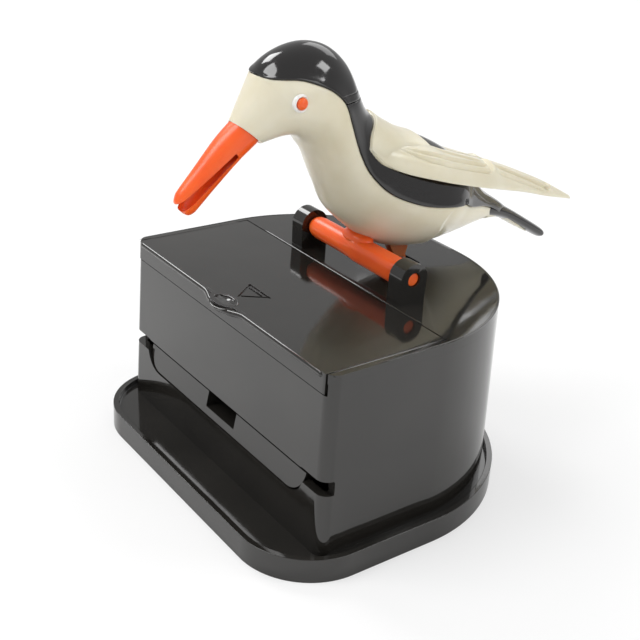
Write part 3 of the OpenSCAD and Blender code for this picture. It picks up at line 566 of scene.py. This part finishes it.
class DispenserSizes(bpy.types.PropertyGroup):
    """Sizes of the finishing that a user would change."""
    edge_round: bpy.props.FloatProperty(
        name="Edge rounding", description="Radius of the moulded pieces' edges", unit="LENGTH", subtype="DISTANCE",
        default=0.00045, min=0.0001, max=0.001, precision=5)
    wall_draft: bpy.props.FloatProperty(
        name="Wall draft", description="How far the box's foot stands out beyond its top on each side",
        unit="LENGTH", subtype="DISTANCE", default=0.0008, min=0, max=0.002, precision=5)
    feather_depth: bpy.props.FloatProperty(
        name="Feather depth", description="Depth of the wing's grooves", unit="LENGTH", subtype="DISTANCE",
        default=0.0007, min=0, max=0.001, precision=5)
    mantle_rise: bpy.props.FloatProperty(
        name="Mantle rise", description="How far the mantle stands out over the back", unit="LENGTH",
        subtype="DISTANCE", default=0.0006, min=0.0003, max=0.002, precision=5)


class DISPENSER_OT_base(bpy.types.Operator):
    """Makes the base with its rounded rim"""
    bl_idname = "dispenser.base"
    bl_label = "Base"

    def execute(self, context):
        moulded("base_plate", context.scene.dispenser_sizes.edge_round * 1.3)
        return {"FINISHED"}


def drafted(co):
    """Each point moves out from the box's middle by a share that falls evenly from the foot to the top."""
    low, high = (np.array(c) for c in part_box("box_shell"))
    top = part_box("lid")[1][2]
    middle, half = (low + high) / 2, (high - low) / 2
    share = 0.5 - (co[:, 2] - low[2]) / (top - low[2])
    share = np.where(co[:, 2] > top + 1e-5, 0, share)
    co = co.copy()
    co[:, :2] += (co - middle)[:, :2] / half[:2] * (share * bpy.context.scene.dispenser_sizes.wall_draft)[:, None]
    return co


class DISPENSER_OT_box(bpy.types.Operator):
    """Makes the box's walls, a little wider at the foot than at the top"""
    bl_idname = "dispenser.box"
    bl_label = "Box"

    def execute(self, context):
        moulded("box_shell", context.scene.dispenser_sizes.edge_round, drafted)
        return {"FINISHED"}


class DISPENSER_OT_cover(bpy.types.Operator):
    """Makes the top cover with its ears, and the lid with a bead along its front and round its thumb tab"""
    bl_idname = "dispenser.cover"
    bl_label = "Cover and lid"

    def execute(self, context):
        edge = context.scene.dispenser_sizes.edge_round
        cover = moulded("top_cover", edge, drafted)
        dress(joined("top_cover_moulded", [cover, self.outline_bead(), self.front_bead()]), "top_cover")
        lid = moulded("lid", edge * 0.7, drafted)
        sides = [self.side_bead(side) for side in (-1, 1)]
        dress(joined("lid_moulded", [lid, self.tab(), self.dish()] + sides), "lid")
        return {"FINISHED"}

    def outline_bead(self):
        """A bead on the cover's outer edge: its line follows the box's outline, round at the back."""
        low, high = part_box("top_cover")
        inset = (DRAFT_TOP + THIN) * MM
        half, back, front = high[0] - inset, high[1] - inset, low[1] + 0.6 * MM
        radius = half - BACK_FLAT * MM / 2
        middle = (front + back - radius) / 2
        arc = np.linspace(0, np.pi / 2, 40)
        corner = np.stack([half - radius + radius * np.cos(arc), back - radius + radius * np.sin(arc)], 1)
        right = np.concatenate([[[half, front], [half, middle]], corner])
        line = np.concatenate([right, right[::-1] * [-1, 1]])
        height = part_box("lid")[1][2] - 0.75 * THIN * MM
        return swept("outline_bead", np.column_stack([line, np.full(len(line), height)]), THIN * MM)

    def straight_bead(self, name, start, end):
        """A thin bead between two places of the plan, just under the lid's top."""
        plan = np.linspace(start, end, 9)
        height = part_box("lid")[1][2] - THIN_DEEP * THIN * MM
        return swept(name, np.column_stack([plan, np.full(9, height)]), THIN * MM)

    def front_bead(self):
        """A bead on the cover's edge behind the lid."""
        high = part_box("lid")[1]
        half, y = high[0] - MM, high[1] + (0.4 + 0.6 * THIN) * MM
        return self.straight_bead("front_bead", [-half, y], [half, y])

    def side_bead(self, side):
        """A bead on one side edge of the lid."""
        low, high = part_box("lid")
        x = side * (high[0] - THIN * MM)
        return self.straight_bead("side_bead", [x, low[1] + (TAB_OUT + 0.8) * MM], [x, high[1] - 0.5 * MM])

    def tab(self):
        """A round bead swept along the lid's front edge y = y0 - bulge(x), and a plate filled in behind it."""
        low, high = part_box("lid")
        reach, front, top, bead = high[0] - 0.8 * MM, low[1] + TAB_OUT * MM, high[2], BEAD * MM
        x = reach * np.sin(np.linspace(-np.pi / 2, np.pi / 2, 241))
        share = (x - TAB_MIDDLE * MM) / (TAB_HALF * MM)
        bulge = np.clip(1 - share ** 2, 0, 1) ** 0.75 * (TAB_OUT - 0.35) * MM
        bulge = np.convolve(np.pad(bulge, 3, mode="edge"), np.ones(7) / 7, "valid")
        y = front + bead - bulge
        z = top - bead - 0.35 * bulge
        turn = np.linspace(0, 2 * np.pi, 20, endpoint=False)
        slope = np.gradient(y, x)
        size = bead * np.clip((reach - np.abs(x)) / MM + 0.02, 0.02, 1)
        to_x, to_y = size * slope / np.hypot(1, slope), -size / np.hypot(1, slope)
        ring = np.stack([x[:, None] + to_x[:, None] * np.cos(turn), y[:, None] + to_y[:, None] * np.cos(turn),
                         z[:, None] + size[:, None] * np.sin(turn)], -1)
        strip = mesh_object("bead", ring, grid_quads(len(x), 20, True))
        k = bulge > 1e-5
        x, y, z, inner = x[k], y[k], z[k], np.full(k.sum(), front + 1.2 * MM)
        rows = [[x, y, z + bead * 0.98], [x, inner, 0 * x + top + 0.01 * MM],
                [x, inner, 0 * x + top - 1.2 * MM], [x, y, z - bead * 0.98]]
        plate = mesh_object("tab", np.array(rows).transpose(0, 2, 1), grid_quads(4, len(x)))
        return joined("tab", [strip, plate])

    def dish(self):
        """A rim of round section along an ellipse, with a bowl inside it: its depth falls with 1 - r squared."""
        low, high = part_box("lid")
        x0, y0, top = TAB_MIDDLE * MM, low[1] + DISH[0] * MM, high[2]
        turn = np.linspace(0, 2 * np.pi, 96, endpoint=False)
        tube = np.linspace(0, 2 * np.pi, 16, endpoint=False)[:, None]
        along_x, along_y, thick = (v * MM for v in DISH[1:])
        sink = DISH_FALL * MM * (1 - np.sin(turn)) ** 1.5
        rim = np.stack([x0 + (along_x + thick * np.cos(tube)) * np.cos(turn),
                        y0 + (along_y + thick * np.cos(tube)) * np.sin(turn),
                        top - sink + thick * 0.5 * np.sin(tube) - 0.02 * MM], -1)
        r = np.linspace(1, 0.01, 24)[:, None]
        bumps = BUMP_HIGH * MM * np.cos(9 * r * np.cos(turn) + 1) * np.cos(8 * r * np.sin(turn))
        bowl = np.stack([x0 + along_x * r * np.cos(turn), y0 + along_y * r * np.sin(turn),
                         top - sink * r - BOWL_DEEP * MM * (1 - r ** 2) + bumps * (1 - r ** 4)], -1)
        closed = np.concatenate([rim, rim[:1]])
        return joined("dish", [
            merge_close(mesh_object("rim", closed, grid_quads(17, 96, True))),
            mesh_object("bowl", bowl, grid_quads(24, 96, True)[:, ::-1], [caps(24, 96)[1][::-1]])])


class DISPENSER_OT_works(bpy.types.Operator):
    """Makes the hopper, the tray and the moulded parts of the linkage"""
    bl_idname = "dispenser.works"
    bl_label = "Hopper, tray and linkage"

    def execute(self, context):
        edge = context.scene.dispenser_sizes.edge_round
        moulded("toothpick_tray", edge * 0.8, self.sloped)
        for node in ("hopper_chute", "hopper_back", "tray_rail_left", "tray_rail_right", "rocker_bracket",
                     "rocker", "lever"):
            moulded(node, edge * 0.6)
        for node in ("rocker_axle", "return_spring", "link_wire", "base_screws"):
            materials = frame["nodes"][node].data.materials
            materials.clear()
            materials.append(finish(SLOTS[node]))
        return {"FINISHED"}

    def sloped(self, co):
        """Lowers the lip in front of the groove within its leaning plane, so that a dark gap shows above it."""
        low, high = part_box("toothpick_tray")
        lip = (co[:, 2] > high[2] - 0.01 * MM) & (co[:, 1] < low[1] + LIP_BACK * MM)
        face = lip & (co[:, 1] < low[1] + LIP_FACE * MM)
        co = co.copy()
        co[lip, 2] -= LIP_DROP * MM
        co[face, 1] -= LIP_DROP * LIP_LEAN * MM
        return co


class DISPENSER_OT_perch(bpy.types.Operator):
    """Makes the perch with its blunt end, its ridge and its pins, and the saddle under the belly"""
    bl_idname = "dispenser.perch"
    bl_label = "Perch"

    def execute(self, context):
        low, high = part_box("perch_rod")
        rod = (high[2] - low[2]) / 2 / MM
        left, right = low[0] / MM, high[0] / MM
        from_x, to_x = left + EAR, right - EAR
        # place along the rod, radius, squareness
        line = [[left + 0.35, 0.05, 2], [left + 0.35, PIN - PIN_END, 2], [left + 0.55, PIN, 2], [from_x, PIN, 2],
                [from_x, 1.75, 2], [from_x + 0.4, 2.05, 2], [from_x + 1.2, 2.35, 2], [from_x + 2.6, rod, 2],
                [-2, rod, 2.05], [0.5, rod, 2.4], [2, rod, 3.2], [to_x - 0.2, rod, 3.4], [to_x, rod - 0.2, 3.4],
                [to_x, PIN, 2], [right - 0.55, PIN, 2], [right - 0.35, PIN - PIN_END, 2], [right - 0.35, 0.05, 2]]
        steps = [np.linspace(i, i + 1, 8, endpoint=False) for i in range(len(line) - 1)]
        place = along(line, np.concatenate(steps + [[len(line) - 1.0]]))
        t = 2 * np.pi * np.arange(96) / 96
        x, radius, square = (place[:, k][:, None] for k in range(3))
        reach = radius / (np.abs(np.cos(t)) ** square + np.abs(np.sin(t)) ** square) ** (1 / square)
        points = np.stack([x + 0 * t, reach * np.cos(t), reach * np.sin(t)], -1)
        skin = mesh_object("perch", from_perch(points), grid_quads(len(place), 96, True)[:, ::-1])
        dress(merge_close(skin), "perch_rod")

        u = np.linspace(-1, 1, 33)[:, None]
        ring = np.sqrt(1 - u ** 2 + 1e-9)
        lump = np.stack([SADDLE[0] * u + 0 * t, SADDLE[1] * ring * np.cos(t), SADDLE[2] * ring * np.sin(t)], -1)
        saddle = mesh_object("saddle", from_perch(lump + SADDLE_AT), grid_quads(33, 96, True)[:, ::-1])
        dress(merge_close(saddle), "perch_saddle")
        return {"FINISHED"}


class DISPENSER_OT_body(bpy.types.Operator):
    """Makes the bird's pale shell, its crown and its dark back with the tail"""
    bl_idname = "dispenser.body"
    bl_label = "Bird's body"

    def execute(self, context):
        angle = seam_angle(ROWS)
        self.pale_shell(ROWS, angle)
        dark = angle > 0
        rows, turn = ROWS[dark], angle[dark]
        turn[0] = 0.0
        cols = 160

        def notched(back, up):
            """A round hollow in the lower edge."""
            gap = np.hypot(back - NOTCH[0], up - NOTCH[1]) / NOTCH[2]
            return -0.9 * np.clip(1.25 - gap, 0, 1)

        grid = shell_grid(rows, -turn, turn, cols, notched, 0.3)
        skin = from_perch(grid)
        skin[..., 2] = np.minimum(skin[..., 2], CAD_BOX[1][2] - 0.02 * MM)
        for piece_name, node in (("crown", "crown_cap"), ("back", "back_shell")):
            piece = merge_close(mesh_object(piece_name, skin, grid_quads(len(rows), cols)))
            self.level_cut(piece, node == "crown_cap")
            if node == "back_shell":
                piece = joined("back", [piece, closed_loft("tail", curve_through(TAIL, 16), 48)])
            dress(piece, node)
        return {"FINISHED"}

    def pale_shell(self, rows, angle):
        """The pale surface below the seam, with a shallow step over the rump and a wedge under the tail."""
        pale = angle < np.pi - 0.05
        rows, turn = rows[pale], angle[pale]
        cols = 200
        line = curve_through(RUMP_STEP, 8)

        def step(back, up):
            """Falls by the step's depth behind the line."""
            behind = back - np.interp(up, line[:, 1], line[:, 0])
            return -RUMP_DEEP / (1 + np.exp(-np.clip(behind / RUMP_SOFT, -30, 30)))

        grid = shell_grid(rows, turn, 2 * np.pi - turn, cols, step)
        belly = mesh_object("pale_shell", from_perch(grid), grid_quads(len(rows), cols), caps(len(rows), cols))
        wedge = closed_loft("tail_wedge", curve_through(WEDGE, 12), 36)
        dress(joined("pale_shell", [merge_close(belly), wedge]), "belly_shell")

    def level_cut(self, piece, upper):
        """Cuts the dark shell level at the nape, rolls the cut edge in and scores a line just above it."""
        bm = bmesh.new()
        bm.from_mesh(piece.data)
        way = 1 if upper else -1
        level = PERCH[2] + (NAPE_UP + way * NAPE_GAP) * MM

        def ring(z, clear):
            """Corners made by a level cut."""
            cut = bmesh.ops.bisect_plane(
                bm, geom=bm.verts[:] + bm.edges[:] + bm.faces[:], plane_co=(0, 0, z), plane_no=(0, 0, 1),
                clear_inner=clear and upper, clear_outer=clear and not upper)["geom_cut"]
            return [v for v in cut if isinstance(v, bmesh.types.BMVert)]

        def pinch(verts, share):
            """Draws a ring of corners towards its own middle."""
            middle = sum((v.co for v in verts), Vector()) / len(verts)
            bmesh.ops.scale(bm, vec=(share, share, 1), space=Matrix.Translation(-middle), verts=verts)

        if upper:
            ring(level + (SCORE_UP - SCORE_HALF) * MM, False)
            scored = ring(level + SCORE_UP * MM, False)
            ring(level + (SCORE_UP + SCORE_HALF) * MM, False)
            pinch(scored, 1 - SCORE_DEPTH)
        border = ring(level, True)
        ring(level + way * NAPE_ROLL * MM, False)
        pinch([v for v in border if v.is_valid], NAPE_IN)
        edges = [e for e in bm.edges if e.is_boundary and all(abs(v.co.z - level) < 1e-6 for v in e.verts)]
        made = bmesh.ops.extrude_edge_only(bm, edges=edges)["geom"]
        pinch([v for v in made if isinstance(v, bmesh.types.BMVert)], NAPE_INNER)
        bmesh.ops.recalc_face_normals(bm, faces=bm.faces)
        bm.to_mesh(piece.data)
        bm.free()


class DISPENSER_OT_beak(bpy.types.Operator):
    """Makes the beak and cuts the slit between its jaws"""
    bl_idname = "dispenser.beak"
    bl_label = "Beak"

    def execute(self, context):
        beak = closed_loft("beak_jaws", curve_through(BEAK, 14), 64)
        root, tip = np.array(SLIT)
        across = np.array([-(tip - root)[1], (tip - root)[0]]) / np.linalg.norm(tip - root)
        root_half, tip_half = SLIT_WIDE
        side = np.array([root - root_half * across, root + root_half * across,
                         tip + tip_half * across, tip - tip_half * across])
        ring = np.concatenate([np.concatenate([np.full((4, 1), x), side], 1) for x in (-8.0, 8.0)])
        cutter = mesh_object("slit", from_perch(ring),
                             [[0, 1, 2, 3], [7, 6, 5, 4], [0, 4, 5, 1], [1, 5, 6, 2], [2, 6, 7, 3], [3, 7, 4, 0]])
        bm = bmesh.new()
        bm.from_mesh(cutter.data)
        bmesh.ops.recalc_face_normals(bm, faces=bm.faces)
        bm.to_mesh(cutter.data)
        bm.free()
        cut_away(beak, cutter)
        soften(beak, 0.35 * MM, 40, 3)
        dress(beak, "beak")
        return {"FINISHED"}


class DISPENSER_OT_eyes(bpy.types.Operator):
    """Makes the eyes: a pale ring and a domed orange middle on each side"""
    bl_idname = "dispenser.eyes"
    bl_label = "Eyes"

    def execute(self, context):
        span = 2 * np.pi * np.arange(40) / 40
        low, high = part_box("eye_pupils")
        ring_low, ring_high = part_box("eye_rings")
        r_ring = (ring_high[2] - ring_low[2]) / 2 * EYE_RING
        r_dot = (high[2] - low[2]) / 2 * EYE_DOT

        def dome(name, profile):
            """A profile of radius and height turned about the line through both eyes, once for each side."""
            prof = np.array(profile)
            parts = []
            for side in (-1, 1):
                x = side * prof[:, 1][:, None] + 0 * span
                y = (low[1] + high[1]) / 2 + prof[:, 0][:, None] * np.cos(span)
                z = (low[2] + high[2]) / 2 + side * prof[:, 0][:, None] * np.sin(span)
                parts.append(mesh_object(name, np.stack([x, y, z], -1), grid_quads(len(prof), 40, True)[:, ::-1],
                                         [caps(len(prof), 40)[1][::-1]]))
            return merge_close(joined(name, parts))

        out, edge = high[0], 0.2 * MM
        profile = [[r_ring, out - 8 * edge], [r_ring, out - 2 * edge], [r_ring - edge, out - edge],
                   [r_dot + edge, out - edge / 2], [r_dot, out - 2 * edge], [r_dot, out - 6 * edge]]
        dress(dome("eye_ring", profile), "eye_rings")
        bend = np.linspace(0, np.pi / 2, 9)[:-1, None]
        cap = np.concatenate([r_dot * 0.98 * np.cos(bend), out - edge + DOME_UP * MM * np.sin(bend)], 1)
        tip = [0.03 * MM, out - edge + DOME_UP * MM]
        dress(dome("eye_middle", [[r_dot * 0.98, out - 7 * edge], *cap, tip]), "eye_pupils")
        return {"FINISHED"}


class DISPENSER_OT_wings(bpy.types.Operator):
    """Makes the mantle over the shoulders and the two grooved wings"""
    bl_idname = "dispenser.wings"
    bl_label = "Wings"

    def execute(self, context):
        sizes = context.scene.dispenser_sizes
        dress(joined("mantle_and_wings", [self.mantle(sizes)] + [self.blade(sizes, side) for side in (-1, 1)]),
              "wings")
        return {"FINISHED"}

    def mantle(self, sizes):
        """A sheet over the body: a Coons patch in section number and angle, raised with pillowed borders."""
        rows_n, cols_n = 90, 60

        def border(points, count):
            """A border of the side view as section numbers and angles."""
            place, angle = place_on_body(resample(curve_through(points, 10), count))
            return np.stack([place, angle], 1)

        front, rear = border(MANTLE_FRONT, cols_n), border(MANTLE_REAR, cols_n)
        low = border(MANTLE_LOW, rows_n)
        front[0, 1] = rear[0, 1] = 0
        b = np.linspace(0, 1, rows_n)[:, None, None]
        a = np.linspace(0, 1, cols_n)[None, :, None]
        top = front[0] * (1 - b[:, 0]) + rear[0] * b[:, 0]
        patch = ((1 - a) * top[:, None] + a * low[:, None] + (1 - b) * front[None] + b * rear[None]
                 - (1 - a) * (1 - b) * front[0] - (1 - a) * b * rear[0] - a * (1 - b) * low[0] - a * b * low[-1])
        a, b = a[..., 0], b[..., 0]
        room = np.minimum(np.minimum(b, 1 - b) * MANTLE_LONG, (1 - a) * MANTLE_DEEP) / MANTLE_EDGE
        lift = sizes.mantle_rise / MM * np.sqrt(1 - (1 - np.clip(room, 0, 1)) ** 2) - 0.25 * (room < 0.001)
        theta = np.concatenate([-patch[:, :0:-1, 1], patch[..., 1]], 1)
        place = np.concatenate([patch[:, :0:-1, 0], patch[..., 0]], 1)
        lift = np.concatenate([lift[:, :0:-1], lift], 1)
        points = section(along(ROWS, place), theta, lift)
        return mesh_object("mantle", from_perch(points), grid_quads(rows_n, 2 * cols_n - 1))

    def blade(self, sizes, side):
        """Arched sections from the inner to the outer edge, with furrows and a crease sunk into the outer face."""
        rows = curve_through(WING, 14)
        t = np.concatenate([np.linspace(0, np.pi, 150, endpoint=False),
                            np.linspace(np.pi, 2 * np.pi, 50, endpoint=False)])
        c = np.sign(np.cos(t)) * np.abs(np.cos(t)) ** 0.9
        v = np.sin(t)
        back = rows[:, 0][:, None]
        inner, outer = rows[:, 1:3][:, None], rows[:, 3:5][:, None]
        middle, half = (inner + outer) / 2, (inner - outer) / 2
        wide = np.linalg.norm(half, axis=-1, keepdims=True)
        out = np.stack([half[..., 1], -half[..., 0]], -1) / wide

        def groove(off, hollow, swell, aside, half_swell):
            """exp(-(off / hollow) squared), less swell times the same curve about a line aside."""
            return np.exp(-(off / hollow) ** 2) - swell * np.exp(-((off - aside) / half_swell) ** 2)

        depth = 0
        for run, share, strength in FURROWS:
            fade = np.clip((back - run[0]) / 3, 0, 1) * np.clip((run[-1] - back) / 2, 0, 1)
            off = (c[None, :] - np.interp(back, run, share)) * wide[..., 0]
            depth = depth + strength * fade * groove(off, *FURROW_SHAPE)
        for at, low, high in CREASES:
            reach = 1 / (1 + np.exp(-(c[None, :] - low) / 0.06)) / (1 + np.exp(-(high - c[None, :]) / 0.06))
            depth = depth + reach * groove(back - at, *CREASE_SHAPE)
        fall = depth * sizes.feather_depth / MM * np.clip((v[None, :] - 0.05) * 5, 0, 1)
        lift = rows[:, 6][:, None] / 2 * v[None, :] + rows[:, 5][:, None] * (1 - c[None, :] ** 2) - fall
        q = middle + c[None, :, None] * half + lift[..., None] * out
        points = np.stack([side * q[..., 0], back + 0 * q[..., 0], q[..., 1]], -1)
        if side > 0:
            points = points[:, ::-1]
        return mesh_object("blade", from_perch(points), grid_quads(len(rows), len(t), True)[:, ::-1],
                           [cap[::-1] for cap in caps(len(rows), len(t))])


class DISPENSER_OT_stage(bpy.types.Operator):
    """Makes the floor, the lamps and the camera"""
    bl_idname = "dispenser.stage"
    bl_label = "Stage"

    def execute(self, context):
        scene = context.scene
        floor = mesh_object("floor", [[-6, -6, 0], [6, -6, 0], [6, 6, 0], [-6, 6, 0]], [[0, 1, 2, 3]])
        m, tree, p = shader("pale floor", (0.86, 0.86, 0.86), 0.7)
        p.inputs["Specular IOR Level"].default_value = 0.1
        ramp(tree, noise(tree, 3, 2), [(0.3, 0.85), (0.8, 0.88)], p.inputs["Base Color"])
        glow = tree.nodes.new("ShaderNodeEmission")
        glow.inputs["Strength"].default_value = 1.0
        mix = tree.nodes.new("ShaderNodeMixShader")
        path = tree.nodes.new("ShaderNodeLightPath")
        seen = tree.nodes.new("ShaderNodeMath")
        seen.operation = "MULTIPLY"
        seen.inputs[1].default_value = 0.55
        tree.links.new(path.outputs["Is Camera Ray"], seen.inputs[0])
        tree.links.new(seen.outputs[0], mix.inputs[0])
        tree.links.new(p.outputs[0], mix.inputs[1])
        tree.links.new(glow.outputs[0], mix.inputs[2])
        tree.links.new(mix.outputs[0], tree.nodes["Material Output"].inputs[0])
        floor.data.materials.append(m)

        def lamp(name, place, aim, wide, high, power):
            """A white area lamp at place, turned to aim."""
            data = bpy.data.lights.new(name, "AREA")
            data.shape, data.size, data.size_y, data.energy = "RECTANGLE", wide, high, power
            lit = placed(name, data)
            lit.location = place
            lit.rotation_euler = (Vector(aim) - Vector(place)).to_track_quat("-Z", "Y").to_euler()

        lamp("key", (-0.25, -0.55, 0.85), (0, 0, 0.04), 0.5, 0.5, 5.0)
        lamp("side", (0.9, 0.2, 0.5), (0, 0, 0.04), 0.6, 0.6, 2.0)
        lamp("back", (-0.5, 0.8, 0.7), (0, 0, 0.05), 0.7, 0.4, 1.5)
        lamp("front edges", (-1.3, -0.1, 1.23), (0, 0, 0.04), 0.6, 0.6, 9.0)
        lamp("side edges", (0.74, 1.0, 1.3), (0, 0, 0.04), 0.5, 0.5, 5.0)
        world = scene.world or bpy.data.worlds.new("studio")
        scene.world = world
        world.use_nodes = True
        tree = world.node_tree
        tree.nodes.clear()
        path = tree.nodes.new("ShaderNodeLightPath")
        pale = tree.nodes.new("ShaderNodeBackground")
        pale.inputs[0].default_value = (1, 1, 1, 1)
        pale.inputs[1].default_value = 0.55
        white = tree.nodes.new("ShaderNodeBackground")
        white.inputs[0].default_value = (1, 1, 1, 1)
        mix = tree.nodes.new("ShaderNodeMixShader")
        out = tree.nodes.new("ShaderNodeOutputWorld")
        tree.links.new(path.outputs["Is Camera Ray"], mix.inputs[0])
        tree.links.new(pale.outputs[0], mix.inputs[1])
        tree.links.new(white.outputs[0], mix.inputs[2])
        tree.links.new(mix.outputs[0], out.inputs[0])
        scene.view_settings.view_transform = "Standard"

        az, el, roll = np.radians(CAMERA_TURN)
        back = np.array([np.sin(az) * np.cos(el), -np.cos(az) * np.cos(el), np.sin(el)])
        right = np.cross([0, 0, 1], back)
        right /= np.linalg.norm(right)
        up = np.cross(back, right)
        data = bpy.data.cameras.new("camera")
        data.sensor_width, data.lens = 36, FOCAL / FRAME * 36
        data.shift_x, data.shift_y = (FRAME / 2 - CENTRE[0]) / FRAME, (CENTRE[1] - FRAME / 2) / FRAME
        data.clip_start = 0.01
        camera = placed("camera", data)
        turn = np.stack([right * np.cos(roll) + up * np.sin(roll),
                         -right * np.sin(roll) + up * np.cos(roll), back], 1)
        camera.matrix_world = Matrix.Translation(CAMERA_AT) @ Matrix(turn.tolist()).to_4x4()
        scene.camera = camera
        return {"FINISHED"}


OPERATORS = (DISPENSER_OT_base, DISPENSER_OT_box, DISPENSER_OT_cover, DISPENSER_OT_works, DISPENSER_OT_perch,
             DISPENSER_OT_body, DISPENSER_OT_beak, DISPENSER_OT_eyes, DISPENSER_OT_wings, DISPENSER_OT_stage)


class DISPENSER_PT_panel(bpy.types.Panel):
    """Lists the dispenser's pieces, sizes and colours"""
    bl_idname = "DISPENSER_PT_panel"
    bl_label = "Dispenser"
    bl_space_type = "VIEW_3D"
    bl_region_type = "UI"
    bl_category = "Dispenser"

    def draw(self, context):
        for operator in OPERATORS:
            self.layout.operator(operator.bl_idname)
        for group in (context.scene.dispenser_sizes, context.scene.dispenser_looks):
            for name in group.__annotations__:
                self.layout.prop(group, name)


CLASSES = (DispenserLooks, DispenserSizes, DISPENSER_PT_panel) + OPERATORS


def register():
    for c in CLASSES:
        bpy.utils.register_class(c)
    bpy.types.Scene.dispenser_looks = bpy.props.PointerProperty(type=DispenserLooks)
    bpy.types.Scene.dispenser_sizes = bpy.props.PointerProperty(type=DispenserSizes)


def unregister():
    del bpy.types.Scene.dispenser_sizes
    del bpy.types.Scene.dispenser_looks
    for c in reversed(CLASSES):
        bpy.utils.unregister_class(c)


def main():
    register()
    for operator in OPERATORS:
        group, name = operator.bl_idname.split(".")
        getattr(getattr(bpy.ops, group), name)()


if __name__ == "__main__":
    main()
